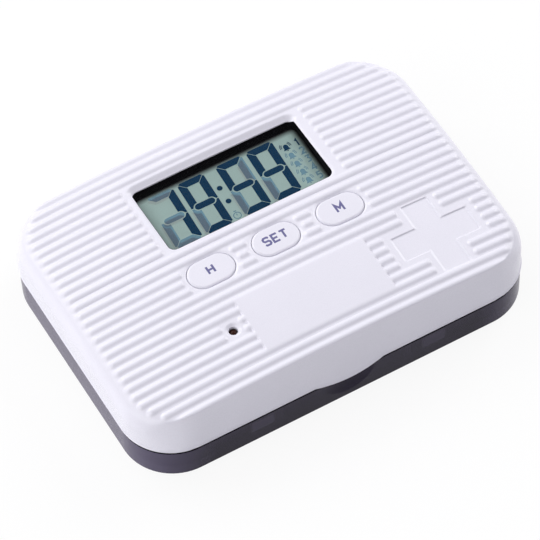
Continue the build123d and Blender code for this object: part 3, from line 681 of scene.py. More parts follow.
def smoke_plastic(name, look):
    """Smoke-grey see-through moulding, darker towards the bottom, with painted light on its ends, painted
    pale patches where the latch tabs show through, and a painted shadow band under the lid.
    """
    paint = Paint(name)
    cloud = paint.noise(9 * MM, 2.0)
    flow = paint.noise(2.2 * MM, 3.0, 0.6, (0.15, 0.15, 1.0))
    fine = paint.noise(0.4 * MM, 1.0)
    tone = tuple(look.colour)
    deep = tuple(0.25 * c for c in tone)
    height = paint.shift(paint.axis("Z"), 0, SEAM * MM)
    body = paint.blend((0.25 * cloud + 0.2 * flow + 0.55 * height).clamped(), deep, tone)
    along = abs(paint.axis("X"))
    # Painted light: the tray's ends are painted paler, where the side lamps light them
    ends = paint.shift(along, (HALF_LENGTH - 1.3 * CORNER) * MM, HALF_LENGTH * MM)
    # Painted light: pale patches where the latch tabs behind the front wall show through
    beside = paint.shift(abs(along - TAB_X * MM), TAB_HALF * MM, (TAB_HALF - 1) * MM)
    level = paint.shift(abs(paint.axis("Z") - TAB_Z * MM), TAB_RISE * MM, (TAB_RISE - 1) * MM)
    paint.set(
        Base_Color=paint.blend((ends + 0.3 * (beside * level)).clamped(), body, tuple(look.pale)),
        Roughness=paint.shift(fine, 0.3, 0.7, look.roughness - 0.03, look.roughness + 0.05),
        Transmission_Weight=look.clearness,
        IOR=1.19,
        Specular_Tint=(0.85, 0.80, 1.0),
    )
    paint.relief(flow + 0.3 * fine, 0.004 * MM)
    # Painted shadow: a near-black band at the top of the tray's outer wall, under the lid's edge
    start = SEAM - RIM_SHADE
    painted_shadow_band = paint.shift(paint.axis("Z"), start * MM, (start + RIM_FADE) * MM)
    shade = paint.node("ShaderNodeBsdfDiffuse", "BSDF", {}, {"Color": (0.003, 0.003, 0.006, 1.0)})
    paint.surface("Material Output", painted_shadow_band * outer_wall(paint), paint.plain, shade)
    return paint.material


def moulded(name, colour, roughness, grain=0.004, sheen=0.5):
    """Plain moulded plastic in one tone, with a fine grain and faint flow marks."""
    paint = Paint(name)
    fine = paint.noise(0.18 * MM, 2.0)
    flow = paint.noise(5 * MM, 2.0, 0.6, (1.0, 0.4, 1.0))
    paint.set(
        Base_Color=paint.blend(flow, tuple(0.9 * c for c in colour), colour),
        Roughness=paint.shift(fine, 0.3, 0.7, roughness - 0.05, roughness + 0.08),
        Specular_IOR_Level=sheen,
    )
    paint.relief(fine, grain * MM)
    return paint.material


def bright_metal(name, colour, roughness, stretch):
    """Drawn or plated metal with lines along one direction."""
    paint = Paint(name, Metallic=1.0)
    lines = paint.noise(0.12 * MM, 3.0, 0.6, stretch)
    stain = paint.noise(3 * MM, 2.0)
    paint.set(
        Base_Color=paint.blend(stain, tuple(0.86 * c for c in colour), colour),
        Roughness=paint.shift(lines, 0.25, 0.75, roughness - 0.08, roughness + 0.1),
    )
    paint.relief(lines, 0.003 * MM)
    return paint.material


def board_laminate(name):
    """Green solder mask over copper tracks that show as paler raised lines."""
    paint = Paint(name)
    layout = {"Scale": 1 / (9 * MM), "Mortar Size": 0.03, "Brick Width": 0.9, "Row Height": 0.22}
    inputs = {"Vector": paint.place(), **layout}
    tracks = paint.node("ShaderNodeTexBrick", "Fac", {"offset": 0.5}, inputs)
    weave = paint.noise(0.5 * MM, 1.0)
    paint.set(
        Base_Color=paint.blend(tracks, (0.02, 0.13, 0.06), (0.06, 0.26, 0.12)),
        Roughness=paint.shift(weave, 0.3, 0.7, 0.25, 0.4),
    )
    paint.relief(tracks + 0.3 * weave, 0.02 * MM)
    return paint.material


def cell_jacket(name, tip_x, base_x):
    """Printed sleeve of a dry cell: a dark body with a copper band at the raised end."""
    paint = Paint(name, Metallic=0.35)
    along = paint.shift(paint.axis("X"), base_x, tip_x)
    band = paint.maths("GREATER_THAN", along, 0.72)
    grain = paint.noise(0.3 * MM, 2.0)
    paint.set(
        Base_Color=paint.blend(band, (0.04, 0.12, 0.17), (0.55, 0.27, 0.12)),
        Roughness=paint.shift(grain, 0.3, 0.7, 0.24, 0.36),
    )
    paint.relief(grain, 0.002 * MM)
    return paint.material


def light_resin(name):
    """Dark red clear resin of the unlit alarm light."""
    paint = Paint(name)
    depth = paint.noise(0.9 * MM, 1.0)
    paint.set(
        Base_Color=paint.blend(depth, (0.020, 0.003, 0.001), (0.045, 0.008, 0.003)),
        Roughness=paint.shift(depth, 0.3, 0.7, 0.30, 0.40),
        Specular_IOR_Level=0.2,
    )
    return paint.material


def clear_of_painted_shadow(paint):
    """One over the display's open part, falling softly to nought in the painted shadow of the window's back
    and right walls.
    """
    back = paint.shift(paint.axis("Y"), SHADE_BACK * MM, (SHADE_BACK - SHADE_SOFT) * MM)
    right = paint.shift(paint.axis("X"), SHADE_RIGHT * MM, (SHADE_RIGHT - SHADE_SOFT) * MM)
    return back * right


def display_ground(name, look):
    """Grey-green reflector of the display, with the fine grain of its film, painted near-black in the shadow
    of the window's back and right walls.
    """
    paint = Paint(name)
    sparkle = paint.noise(0.10 * MM, 2.0, 0.7)
    cloud = paint.noise(14 * MM, 2.0)
    tone = tuple(look.ground)
    grained = paint.blend(0.55 * sparkle + 0.45 * cloud, tuple(0.88 * c for c in tone), tone)
    paint.set(
        # Painted shadow: the ground turns near-black under the window's back and right walls
        Base_Color=paint.blend(clear_of_painted_shadow(paint), (0.004, 0.005, 0.005), grained),
        Roughness=paint.shift(sparkle, 0.3, 0.7, 0.45, 0.6),
    )
    paint.relief(sparkle, 0.002 * MM)
    return paint.material


def ink(name, colour, alpha, roughness=0.4, fade_in_painted_shadow=False):
    """A flat printed or switched film in one tone, faintly uneven, and if asked fading out in the painted
    shadow of the window's walls.
    """
    paint = Paint(name)
    speck = paint.noise(0.16 * MM, 2.0)
    paint.set(
        Base_Color=paint.blend(speck, tuple(0.85 * c for c in colour), colour),
        Roughness=paint.shift(speck, 0.3, 0.7, roughness - 0.05, roughness + 0.08),
        Specular_IOR_Level=0.1,
    )
    if alpha < 1:
        cover = paint.shift(speck, 0.2, 0.8, 0.9 * alpha, 1.1 * alpha)
        # Off segments fade out where the painted shadow of the window's walls lies
        paint.set(Alpha=cover * clear_of_painted_shadow(paint) if fade_in_painted_shadow else cover)
    return paint.material


def dress(material, *names):
    """Gives CAD nodes a material."""
    for name in names:
        for material_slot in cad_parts[name].material_slots:
            material_slot.material = material


def linked(name, data):
    """A new object in the scene."""
    piece = bpy.data.objects.new(name, data)
    bpy.context.scene.collection.objects.link(piece)
    return piece


def from_bmesh(name, body):
    """A mesh of a bmesh, with its faces turned outwards."""
    bmesh.ops.recalc_face_normals(body, faces=body.faces)
    mesh = bpy.data.meshes.new(name)
    body.to_mesh(mesh)
    body.free()
    return mesh


def carve(mesh, cutters):
    """The mesh with closed cutters taken out of it, or an error if nothing was cut."""
    piece = linked("uncut", mesh)
    tools = []
    for cutter in cutters:
        tool = linked("cutter", from_bmesh("cutter", cutter))
        step = piece.modifiers.new("cut", "BOOLEAN")
        step.operation = "DIFFERENCE"
        step.solver = "MANIFOLD"
        step.object = tool
        tools.append(tool)
    bpy.context.view_layer.update()
    done = bpy.data.meshes.new_from_object(piece.evaluated_get(bpy.context.evaluated_depsgraph_get()))
    for spare in [piece] + tools:
        bpy.data.objects.remove(spare)
    if not done.polygons or len(done.vertices) == len(mesh.vertices):
        raise RuntimeError(f"the openings of {mesh.name} were not cut")
    return done


def finish_piece(name, mesh, material, body, crease=None):
    """Makes an object of a mesh, smooth up to a crease angle in degrees, and riding on its body."""
    mesh.materials.clear()
    mesh.materials.append(material)
    if crease is None:
        mesh.shade_flat()
    else:
        mesh.shade_smooth()
        mesh.set_sharp_from_angle(angle=math.radians(crease))
    piece = linked(name, mesh)
    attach(piece, body)
    return piece


def solid(name, body, material, rides_on, crease=None):
    """Makes a finished piece of a bmesh."""
    return finish_piece(name, from_bmesh(name, body), material, rides_on, crease)


def raise_outlines(outlines, floor, thickness):
    """Thin closed plates from outlines of (x, y) points, whose underside stands at floor(x, y)."""
    plates = bmesh.new()
    for outline in outlines:
        low = [plates.verts.new((x, y, floor(x, y))) for x, y in outline]
        high = [plates.verts.new((x, y, floor(x, y) + thickness)) for x, y in outline]
        plates.faces.new(list(reversed(low)))
        plates.faces.new(high)
        for i in range(len(outline)):
            j = (i + 1) % len(outline)
            plates.faces.new((low[i], low[j], high[j], high[i]))
    return plates


def stadium(x, y, length, width, steps=10):
    """Outline of a bar with round ends."""
    reach = (length - width) / 2
    right = arc_points(x + reach, y, width / 2, -90, 90, steps)
    return right + arc_points(x - reach, y, width / 2, 90, 270, steps)


# Seven-segment digits, in millimetres in the plane of the display, measured from its middle
DIGIT_WIDTH = 9.3
DIGIT_HEIGHT = 21.4
DIGIT_Y = 0.62
DIGIT_XS = (-21.15, -10.35, 3.25, 14.05)
DIGIT_LEAN = 0.04
LIST_LEAN = 0.015
UPRIGHT = 2.6
LEVEL = 2.4
CORNER_CUT = 0.5
BAR_LENGTH = 6.9
BAR_WIDTH = 2.25
SEGMENT_GAP = 0.38
SHAPES = {"1": "bc", "5": "acdfg", "9": "abcdfg"}
GHOSTS = {"1": "adeg", "5": "be", "9": "e"}
DIGITS = "1959"


def segment(which):
    """Outline of one segment of a digit about the digit's middle."""
    half_width = DIGIT_WIDTH / 2
    half_height = DIGIT_HEIGHT / 2
    if which == "g":
        return stadium(0, 0, BAR_LENGTH, BAR_WIDTH)
    if which in "ad":
        inner = half_width - UPRIGHT + SEGMENT_GAP / 3
        middle = half_width - CORNER_CUT
        rise = half_height - LEVEL + middle - inner
        outer = half_width - 2 * CORNER_CUT
        points = [(inner, half_height - LEVEL), (middle, rise), (outer, half_height)]
        points += [(-x, y) for x, y in reversed(points)]
    else:
        reach = BAR_WIDTH / 2 + SEGMENT_GAP
        centre = (BAR_LENGTH - BAR_WIDTH) / 2
        inner = half_width - UPRIGHT
        low = half_height - LEVEL - SEGMENT_GAP
        tip = low + UPRIGHT - CORNER_CUT
        points = [(half_width, tip - CORNER_CUT / 2), (half_width - CORNER_CUT, tip), (inner, low)]
        steps = 8
        for i in range(steps + 1):
            x = inner + (half_width - inner) * i / steps
            over = max(0.0, x - centre)
            points.append((x, max(math.sqrt(max(0.0, reach**2 - over**2)), SEGMENT_GAP / 3)))
    if which in "dce":
        points = [(x, -y) for x, y in points]
    if which in "fe":
        points = [(-x, y) for x, y in points]
    return points


def on_display(points, x=0.0, y=0.0, lean=LIST_LEAN):
    """Display millimetres to metres in the object's frame, with a slight lean."""
    return [
        (window_centre.x + (px + x + lean * (py + y)) * MM, window_centre.y + (py + y) * MM)
        for px, py in points
    ]


def stroke(points, width):
    """Outline of a thick line through a few points, with square ends and mitred corners."""
    sides = ([], [])
    for i, (x, y) in enumerate(points):
        before = Vector(points[max(i - 1, 0)])
        after = Vector(points[min(i + 1, len(points) - 1)])
        here = Vector((x, y))
        incoming = (here - before).normalized() if i else (after - here).normalized()
        outgoing = (after - here).normalized() if i < len(points) - 1 else incoming
        across = Vector((-(incoming + outgoing).y, (incoming + outgoing).x)).normalized()
        reach = width / 2 / max(0.3, across.dot(Vector((-incoming.y, incoming.x))))
        sides[0].append(tuple(here + across * reach))
        sides[1].append(tuple(here - across * reach))
    return sides[0] + sides[1][::-1]


# Plain numerals of the alarm list as strokes in a 1.5 by 2.5 box
NUMERALS = {
    "1": [[(-0.35, 0.75), (0.15, 1.25), (0.15, -1.25)]],
    "2": [[(-0.65, 0.8), (-0.3, 1.2), (0.35, 1.2), (0.65, 0.8), (0.6, 0.3), (-0.65, -1.1), (0.7, -1.1)]],
    "3": [
        [(-0.6, 1.15), (0.6, 1.15), (0.0, 0.3), (0.5, 0.05), (0.65, -0.5), (0.35, -1.1), (-0.6, -1.1)]
    ],
    "4": [[(0.3, -1.25), (0.3, 1.2), (-0.7, -0.45), (0.75, -0.45)]],
    "5": [
        [(0.6, 1.15), (-0.5, 1.15), (-0.6, 0.2), (0.35, 0.25), (0.65, -0.35), (0.35, -1.1), (-0.6, -1.1)]
    ],
}


def bell(x, y, size):
    """Outline pieces of a small alarm bell."""
    dome = arc_points(x, y + 0.16 * size, 0.42 * size, 0, 180, 10)
    skirt = [(x - 0.42 * size, y - 0.25 * size), (x - 0.66 * size, y - 0.56 * size)]
    skirt += [(2 * x - a, b) for a, b in reversed(skirt)]
    clapper = arc_points(x, y - 0.64 * size, 0.15 * size, 180, 360, 6)
    waves = []
    for near in (0.66, 0.89):
        for start, end in ((-12, 48), (132, 192)):
            outer = arc_points(x, y + 0.16 * size, (near + 0.12) * size, start, end, 5)
            waves.append(outer + arc_points(x, y + 0.16 * size, near * size, end, start, 5))
    return [dome + skirt, clapper] + waves


def stopwatch(x, y, radius):
    """Outline pieces of a small stopwatch: two half rings, a hand and a crown."""
    pieces = []
    for start in (0, 180):
        outer = arc_points(x, y, radius, start, start + 180, 12)
        pieces.append(outer + arc_points(x, y, radius * 0.78, start + 180, start, 12))
    for half, low, high in ((0.1, 0, 0.55), (0.35, 1.2, 1.45)):
        corners = ((-half, low), (half, low), (half, high), (-half, high))
        pieces.append([(x + a * radius, y + b * radius) for a, b in corners])
    return pieces


BELL_X = 21.85
NUMERAL_X = 25.75
ALARM_TOP = 6.65
ALARM_STEP = 3.62
BELL_SIZE = 1.95
NUMERAL_STROKE = 0.52
NUMERAL_SCALE = 1.05
COLON_X = -3.6
COLON_YS = (3.45, -2.27)
COLON_RADIUS = 0.92
STOPWATCH_PLACE = (-3.85, -8.45)
STOPWATCH_RADIUS = 1.35
# Offset of the painted shadow of the off segments, and how many of them get one
PAINTED_SHADOW_SHIFT = (-0.65, -0.95)
PAINTED_SHADOW_COUNT = 8


def display_outlines():
    """Outlines of everything that is lit, and of everything that is not."""
    lit, ghost = [], []
    for x, digit in zip(DIGIT_XS, DIGITS):
        lit += [on_display(segment(s), x, DIGIT_Y, DIGIT_LEAN) for s in SHAPES[digit]]
        ghost += [on_display(segment(s), x, DIGIT_Y, DIGIT_LEAN) for s in GHOSTS[digit]]
    for y in COLON_YS:
        lit.append(on_display(arc_points(COLON_X, y, COLON_RADIUS, 0, 345, 23)))
    for row, numeral in enumerate("12345"):
        y = ALARM_TOP - row * ALARM_STEP
        target = ghost if row else lit
        target += [on_display(outline) for outline in bell(BELL_X, y, BELL_SIZE)]
        lines = [[(a * NUMERAL_SCALE, b * NUMERAL_SCALE) for a, b in line] for line in NUMERALS[numeral]]
        strokes = [stroke(line, NUMERAL_STROKE) for line in lines]
        target += [on_display(outline, NUMERAL_X, y) for outline in strokes]
    ghost += [on_display(outline) for outline in stopwatch(*STOPWATCH_PLACE, STOPWATCH_RADIUS)]
    return lit, ghost


# Layers of the display, and the heights of its segments over its face
FACE_Z = glass_high.z - 0.14 * MM
FACE_MARGIN = 0.9 * MM
FOOT_Z = glass_low.z + 0.9 * MM
FILM_Z = FACE_Z - 0.15 * MM
LAYER_ROUND = 0.05 * MM
SEGMENT_LIFT = 0.02 * MM
SEGMENT_STEP = 0.01 * MM
SEGMENT_THICKNESS = 0.006 * MM


def display_stack():
    """The display as three plates on each other, each smaller than the one below."""
    stack = bmesh.new()
    for inset, low, high in (
        (0.0, glass_low.z, FOOT_Z),
        (FACE_MARGIN, FOOT_Z, FILM_Z),
        (1.3 * FACE_MARGIN, FILM_Z, FACE_Z),
    ):
        size = (glass_high - glass_low) - Vector((2 * inset, 2 * inset, 0))
        centre = Vector((window_centre.x, window_centre.y, (low + high) / 2))
        matrix = Matrix.Translation(centre) @ Matrix.Diagonal((size.x, size.y, high - low, 1))
        made = bmesh.ops.create_cube(stack, size=1.0, matrix=matrix)
        edges = list({e for v in made["verts"] for e in v.link_edges})
        bmesh.ops.bevel(stack, geom=edges, offset=LAYER_ROUND, segments=2, profile=0.5, affect="EDGES")
    return stack


def liner_rings():
    """The black frame from the window's edge down to the lens, as rings of (x, y, z)."""
    place = (WINDOW_X, WINDOW_Y)
    foot_z = glass_high.z / MM + LINER_FOOT
    foot_half = tuple(h - lean for h, lean in zip(WINDOW_HALF, LINER_LEAN))
    foot = round_box((WINDOW_X, WINDOW_Y - LINER_LEAN[1]), foot_half, WINDOW_RADIUS)
    inner = round_box(place, WINDOW_HALF, WINDOW_RADIUS, -LINER_SHOWS)
    outer = round_box(place, WINDOW_HALF, WINDOW_RADIUS, LINER - LINER_PLAY)
    top = [skin(x, y) - LINER - LINER_DROP for x, y in inner]
    return [
        [(x, y, foot_z) for x, y in foot],
        [(x, y, z) for (x, y), z in zip(inner, top)],
        [(x, y, z) for (x, y), z in zip(outer, top)],
        [(x, y, foot_z) for x, y in outer],
    ]


def knuckle_body(x):
    """A hinge knuckle with the web that joins it to the lid."""
    turn = math.degrees(math.asin((SEAM - HINGE_Z) / KNUCKLE_RADIUS))
    outline = arc_points(HINGE_Y, HINGE_Z, KNUCKLE_RADIUS, 180 - turn, 450, 30)
    web_y = HINGE_Y - KNUCKLE_WEB
    outline += [(web_y, HINGE_Z + KNUCKLE_RADIUS), (web_y, SEAM)]
    return stack_rings([[(x + side * KNUCKLE_WIDTH / 2, y, z) for y, z in outline] for side in (-1, 1)])


# Plain capitals of the key marks as strokes in a 2 by 3 box
CAPITALS = {
    "H": [[(-1.0, -1.5), (-1.0, 1.5)], [(1.0, -1.5), (1.0, 1.5)], [(-1.0, 0.0), (1.0, 0.0)]],
    "S": [
        [(1.0, 1.1), (0.6, 1.5), (-0.6, 1.5), (-1.0, 1.1), (-1.0, 0.4), (-0.6, 0.0), (0.6, 0.0)]
        + [(1.0, -0.4), (1.0, -1.1), (0.6, -1.5), (-0.6, -1.5), (-1.0, -1.1)]
    ],
    "E": [[(1.0, 1.5), (-1.0, 1.5), (-1.0, -1.5), (1.0, -1.5)], [(-1.0, 0.0), (0.7, 0.0)]],
    "T": [[(-1.1, 1.5), (1.1, 1.5)], [(0.0, 1.5), (0.0, -1.5)]],
    "M": [[(-1.2, -1.5), (-1.2, 1.5), (0.0, -0.2), (1.2, 1.5), (1.2, -1.5)]],
}
CAPITAL_STEP = 3.1
CAPITAL_STROKE = 0.74
CAPITAL_Y = 0.28
CAPITAL_SCALE = 0.95
MARK_THICKNESS = 0.02 * MM


def mark_outlines(letters, centre):
    """Outlines of a row of capitals about the middle of a key, in metres."""
    outlines = []
    for place, letter in enumerate(letters):
        shift = (place - (len(letters) - 1) / 2) * CAPITAL_STEP
        for line in CAPITALS[letter]:
            outline = stroke(line, CAPITAL_STROKE)
            across = [centre.x + (x + shift) * CAPITAL_SCALE * MM for x, y in outline]
            along = [centre.y + (CAPITAL_Y + y * CAPITAL_SCALE) * MM for x, y in outline]
            outlines.append(list(zip(across, along)))
    return outlines


class LidLook(bpy.types.PropertyGroup):
    """The lid's and keys' finish."""

    colour: bpy.props.FloatVectorProperty(
        name="Colour", description="White of the mouldings", subtype="COLOR", size=3,
        default=(0.80, 0.79, 0.865),
    )
    roughness: bpy.props.FloatProperty(
        name="Roughness", description="Dullness of the sheen", subtype="FACTOR", default=0.27
    )
    grain: bpy.props.FloatProperty(name="Grain", description="Height of the grain in mm", default=0.006)


class TrayLook(bpy.types.PropertyGroup):
    """The tray's finish."""

    colour: bpy.props.FloatVectorProperty(
        name="Colour", description="Smoke tone", subtype="COLOR", size=3, default=(0.050, 0.040, 0.078)
    )
    # Paler tone painted on the tray's ends as painted light
    pale: bpy.props.FloatVectorProperty(
        name="Pale", description="Tone at the lighter ends", subtype="COLOR", size=3,
        default=(0.16, 0.14, 0.22),
    )
    roughness: bpy.props.FloatProperty(
        name="Roughness", description="Dullness of the sheen", subtype="FACTOR", default=0.22
    )
    clearness: bpy.props.FloatProperty(
        name="Clearness", description="Share of light let through", subtype="FACTOR", default=0.35
    )


class DisplayLook(bpy.types.PropertyGroup):
    """Colours of the display."""

    ground: bpy.props.FloatVectorProperty(
        name="Ground", description="Reflector behind the segments", subtype="COLOR", size=3,
        default=(0.49, 0.63, 0.60),
    )
    lit: bpy.props.FloatVectorProperty(
        name="Lit", description="Segments that are on", subtype="COLOR", size=3, default=(0.001, 0.045, 0.115)
    )
    ghost: bpy.props.FloatVectorProperty(
        name="Ghost", description="Segments that are off", subtype="COLOR", size=3, default=(0.32, 0.56, 0.72)
    )
    # Warm tone of the painted shadow that the off segments cast, offset from them
    painted_segment_shadow: bpy.props.FloatVectorProperty(
        name="Veil", description="Warm second image of the off segments", subtype="COLOR", size=3,
        default=(0.80, 0.22, 0.36),
    )


class StageLook(bpy.types.PropertyGroup):
    """Camera, light and floor."""

    target: bpy.props.FloatVectorProperty(
        name="Target", description="Point that the camera looks at", subtype="XYZ", size=3, unit="LENGTH",
        default=(0.00247, 0.00441, 0.0),
    )
    distance: bpy.props.FloatProperty(
        name="Distance", description="From the camera to its target", unit="LENGTH", default=1.12578
    )
    azimuth: bpy.props.FloatProperty(
        name="Azimuth", description="Turn round the object", subtype="ANGLE", default=math.radians(-27.741)
    )
    elevation: bpy.props.FloatProperty(
        name="Elevation", description="Height over the horizon", subtype="ANGLE", default=math.radians(54.188)
    )
    roll: bpy.props.FloatProperty(
        name="Roll", description="Tilt of the camera", subtype="ANGLE", default=math.radians(-2.677)
    )
    lens: bpy.props.FloatProperty(
        name="Lens", description="Focal length in mm on a 36 mm sensor", unit="CAMERA", default=240.66
    )
    left_power: bpy.props.FloatProperty(
        name="Left lamp", description="Its power in watts", unit="POWER", default=12.5
    )
    right_power: bpy.props.FloatProperty(
        name="Right lamp", description="Its power in watts", unit="POWER", default=16.3
    )
    back_power: bpy.props.FloatProperty(
        name="Back lamp", description="Its power in watts", unit="POWER", default=18.0
    )
    fill: bpy.props.FloatProperty(name="Fill", description="Strength of the surrounding light", default=0.30)


class PILLBOX_OT_lid(bpy.types.Operator):
    """Finishes the ribbed lid"""

    bl_idname = "pillbox.lid"
    bl_label = "Ribbed lid"

    def execute(self, context):
        white = satin_white("lid_white", context.scene.pillbox_lid)
        points, faces = lid_mesh()
        plain = bpy.data.meshes.new("lid")
        plain.from_pydata((points * MM).tolist(), [], faces)
        cutters = [through_cutter((WINDOW_X, WINDOW_Y), WINDOW_HALF, WINDOW_RADIUS, WINDOW_STEP, LINER)]
        cutters += [through_cutter(place, KEY_HALF, KEY_HALF[1], KEY_STEP) for place in KEYS.values()]
        round_hole = (LIGHT_RADIUS, LIGHT_RADIUS)
        cutters.append(through_cutter((LIGHT_X, LIGHT_Y), round_hole, LIGHT_RADIUS))
        for side in (-1, 1):
            for ear in (-1, 1):
                place = (side * HINGE_X + ear * EAR_OFFSET, HINGE_Y, HINGE_Z)
                cutters.append(bar_along_x(place, EAR_WIDTH + 2 * EAR_GAP, KNUCKLE_RADIUS + EAR_GAP))
        lid = finish_piece("ribbed_lid", carve(plain, cutters), white, "lid", CREASE)
        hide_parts("lid_shell")
        for side, name in ((-1, "knuckle_left"), (1, "knuckle_right")):
            knuckle = from_bmesh(name, knuckle_body(side * HINGE_X))
            hole = bar_along_x((side * HINGE_X, HINGE_Y, HINGE_Z), 2 * KNUCKLE_WIDTH, PIN_RADIUS)
            piece = finish_piece(name, carve(knuckle, [hole]), white, "lid", CREASE)
            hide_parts("lid_shell")
        return {"FINISHED"}


class PILLBOX_OT_tray(bpy.types.Operator):
    """Finishes the smoke-grey tray"""

    bl_idname = "pillbox.tray"
    bl_label = "Smoke tray"

    def execute(self, context):
        dress(smoke_plastic("tray_smoke", context.scene.pillbox_tray), "base_tray")
        return {"FINISHED"}


class PILLBOX_OT_display(bpy.types.Operator):
    """Builds the display with its segments, and finishes the lens and the black ring"""

    bl_idname = "pillbox.display"
    bl_label = "Display"

    def execute(self, context):
        look = context.scene.pillbox_display
        ground = display_ground("display_ground", look)
        face = solid("display_face", display_stack(), ground, "lid")
        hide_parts("display_glass")
        lit, ghost = display_outlines()
        aside, down = (shift * MM for shift in PAINTED_SHADOW_SHIFT)
        # Painted shadow of the off segments: a faint warm copy of them, offset down and to the left
        painted_segment_shadow = [[(x + aside, y + down) for x, y in outline] for outline in ghost[:PAINTED_SHADOW_COUNT]]
        for layer, (name, outlines, material) in enumerate((
            ("segments_off", ghost, ink("ghost_ink", tuple(look.ghost), 0.50, fade_in_painted_shadow=True)),
            ("segments_veil", painted_segment_shadow, ink("veil_ink", tuple(look.painted_segment_shadow), 0.03, fade_in_painted_shadow=True)),
            ("segments_on", lit, ink("segment_ink", tuple(look.lit), 1.0)),
        )):
            height = FACE_Z + SEGMENT_LIFT + layer * SEGMENT_STEP
            plates = raise_outlines(outlines, lambda x, y, z=height: z, SEGMENT_THICKNESS)
            solid(name, plates, material, "lid")
        lens = Paint("clear_lens")
        lens.see_through((0.97, 0.985, 0.98), 0.03)
        dress(lens.material, "display_lens")
        black = moulded("ring_black", (0.003, 0.003, 0.004), 0.8, sheen=0.05)
        dress(black, "display_holder")
        frame_body = stack_rings(liner_rings(), True)
        liner = solid("window_liner", frame_body, black, "lid", CREASE)
        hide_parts("display_bezel")
        return {"FINISHED"}


class PILLBOX_OT_keys(bpy.types.Operator):
    """Finishes the keys and prints their marks"""

    bl_idname = "pillbox.keys"
    bl_label = "Keys"

    def execute(self, context):
        white = satin_white("key_white", context.scene.pillbox_lid)
        black = moulded("plunger_black", (0.03, 0.03, 0.032), 0.45)
        mark = ink("mark_violet", (0.17, 0.165, 0.33), 1.0)
        for key, letters in (("hour_key", "H"), ("set_key", "SET"), ("minute_key", "M")):
            dress(white, key)
            dress(black, f"{key}_plunger")
            plates = raise_outlines(
                mark_outlines(letters, middle(key)),
                lambda x, y: float(crown(x / MM, y / MM) + KEY_RISE) * MM - MARK_THICKNESS / 4,
                MARK_THICKNESS,
            )
            solid(f"{key}_mark", plates, mark, key)
        return {"FINISHED"}


class PILLBOX_OT_inside(bpy.types.Operator):
    """Finishes the plate, door and everything that the lid holds"""

    bl_idname = "pillbox.inside"
    bl_label = "Inside of the lid"

    def execute(self, context):
        plain = moulded("inner_white", (0.72, 0.71, 0.76), 0.5, 0.006)
        steel = bright_metal("screw_steel", (0.56, 0.56, 0.58), 0.30, (1.0, 1.0, 8.0))
        plated = bright_metal("plated_strip", (0.72, 0.71, 0.68), 0.24, (8.0, 1.0, 1.0))
        black = moulded("part_black", (0.025, 0.025, 0.028), 0.5)
        dress(plain, "lid_inner_cover", "battery_door")
        dress(steel, "cover_screws", "board_screws", "door_screw", "hinge_pins", "crystal")
        dress(plated, "battery_contacts", "battery_bridge", "battery_springs")
        dress(black, "switch_bodies", "clock_chip", "buzzer")
        dress(moulded("strip_rubber", (0.30, 0.06, 0.08), 0.7), "contact_strip")
        dress(board_laminate("board_green"), "circuit_board")
        dress(light_resin("light_red"), "indicator_light")
        for name, tip_first in (("cell_front", True), ("cell_back", False)):
            low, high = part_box(name)
            ends = (low.x, high.x) if tip_first else (high.x, low.x)
            dress(cell_jacket(f"{name}_jacket", *ends), name)
        return {"FINISHED"}


class PILLBOX_OT_stage(bpy.types.Operator):
    """Sets up the floor, the light and the camera"""

    bl_idname = "pillbox.stage"
    bl_label = "Stage"

    def execute(self, context):
        look = context.scene.pillbox_stage
        make_floor()
        make_world(look)
        for side, (direction, size) in LAMPS.items():
            make_lamp(f"{side}_lamp", direction, size, getattr(look, f"{side}_power"))
        make_camera(look)
        return {"FINISHED"}


# Stage, in metres: the floor's half width and share of own light, the lamps' directions and sizes
FLOOR_REACH = 3.0
FLOOR_DROP = 0.02 * MM
FLOOR_GLOW = 0.90
LAMP_DISTANCE = 1.7
LAMPS = {
    "left": ((-0.86, -0.18, 0.50), (1.3, 1.1)),
    "right": ((0.80, 0.26, 0.54), (1.1, 1.1)),
    "back": ((-0.30, 0.70, 0.65), (1.5, 1.1)),
}
SENSOR = 36
CLIP_NEAR, CLIP_FAR = 0.05, 20


def make_floor():
    """A wide pale floor that keeps the object's shadow."""
    mesh = bpy.data.meshes.new("floor")
    corners = [(x * FLOOR_REACH, y * FLOOR_REACH, 0) for x, y in ((-1, -1), (1, -1), (1, 1), (-1, 1))]
    mesh.from_pydata(corners, [], [(0, 1, 2, 3)])
    floor = linked("floor", mesh)
    floor.location.z = -FLOOR_DROP
    paint = Paint("floor_white", Base_Color=(0.93, 0.93, 0.935), Roughness=0.8)
    seen = paint.ray("Camera") + paint.ray("Glossy") + paint.ray("Transmission")
    glow = paint.node("ShaderNodeEmission", "Emission", {}, {"Color": (1, 1, 1, 1), "Strength": 1.0})
    paint.surface("Material Output", FLOOR_GLOW * seen.clamped(), paint.plain, glow)
    mesh.materials.append(paint.material)


def make_world(look):
    """Even fill light, and a white background where the camera or glass sees past the floor."""
    world = bpy.data.worlds.new("studio")
    world.use_nodes = True
    bpy.context.scene.world = world
    sky = Nodes(world.node_tree)
    fill = sky.tree.nodes["Background"]
    sky.feed(fill.inputs["Color"], (0.98, 0.96, 1.05, 1.0))
    sky.feed(fill.inputs["Strength"], look.fill)
    white = {"Color": (1.0, 1.0, 1.0, 1.0), "Strength": 1.0}
    seen = sky.node("ShaderNodeBackground", "Background", {}, white)
    either = sky.maths("MAXIMUM", sky.ray("Camera"), sky.ray("Transmission"))
    sky.surface("World Output", either, Value(sky, fill.outputs[0]), seen)


def make_lamp(name, direction, size, power):
    """A large soft rectangular lamp that faces the object."""
    data = bpy.data.lights.new(name, "AREA")
    data.shape = "RECTANGLE"
    data.size, data.size_y = size
    data.energy = power
    lamp = linked(name, data)
    away = Vector(direction).normalized()
    lamp.location = away * LAMP_DISTANCE
    lamp.rotation_euler = away.to_track_quat("Z", "Y").to_euler()


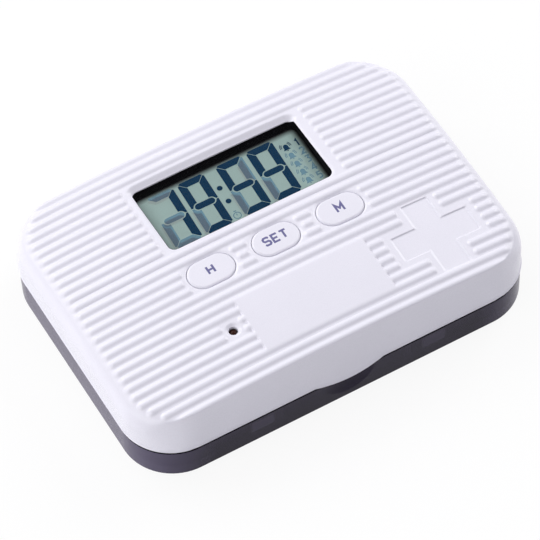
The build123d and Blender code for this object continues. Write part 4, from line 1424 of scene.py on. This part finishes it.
def make_camera(look):
    """The camera at the photograph's viewing angle."""
    data = bpy.data.cameras.new("camera")
    data.sensor_width = SENSOR
    data.lens = look.lens
    data.clip_start, data.clip_end = CLIP_NEAR, CLIP_FAR
    camera = linked("camera", data)
    turn = Matrix.Rotation(look.azimuth, 4, "Z") @ Matrix.Rotation(math.pi / 2 - look.elevation, 4, "X")
    turn = turn @ Matrix.Rotation(look.roll, 4, "Z")
    away = turn @ Vector((0, 0, look.distance))
    camera.matrix_world = Matrix.Translation(Vector(look.target) + away) @ turn
    bpy.context.scene.camera = camera
    bpy.context.scene.view_settings.view_transform = "Standard"


class PILLBOX_PT_panel(bpy.types.Panel):
    """Lists the pieces and their finishes"""

    bl_idname = "PILLBOX_PT_panel"
    bl_label = "Pill Box"
    bl_space_type = "VIEW_3D"
    bl_region_type = "UI"
    bl_category = "Pill Box"

    def draw(self, context):
        for operator in OPERATORS:
            self.layout.operator(operator.bl_idname)
        for name, look in LOOKS.items():
            for field in look.__annotations__:
                self.layout.prop(getattr(context.scene, name), field)


OPERATORS = (
    PILLBOX_OT_lid,
    PILLBOX_OT_tray,
    PILLBOX_OT_display,
    PILLBOX_OT_keys,
    PILLBOX_OT_inside,
    PILLBOX_OT_stage,
)
LOOKS = {
    "pillbox_lid": LidLook,
    "pillbox_tray": TrayLook,
    "pillbox_display": DisplayLook,
    "pillbox_stage": StageLook,
}


def register():
    """Makes the panel, the operators and their settings known."""
    for name, look in LOOKS.items():
        bpy.utils.register_class(look)
        setattr(bpy.types.Scene, name, bpy.props.PointerProperty(type=look))
    for operator in OPERATORS:
        bpy.utils.register_class(operator)
    bpy.utils.register_class(PILLBOX_PT_panel)


def unregister():
    """Takes them away again."""
    bpy.utils.unregister_class(PILLBOX_PT_panel)
    for operator in reversed(OPERATORS):
        bpy.utils.unregister_class(operator)
    for name, look in LOOKS.items():
        delattr(bpy.types.Scene, name)
        bpy.utils.unregister_class(look)


def main():
    """Dresses every piece."""
    register()
    for operator in OPERATORS:
        group, name = operator.bl_idname.split(".")
        getattr(getattr(bpy.ops, group), name)()


if __name__ == "__main__":
    main()
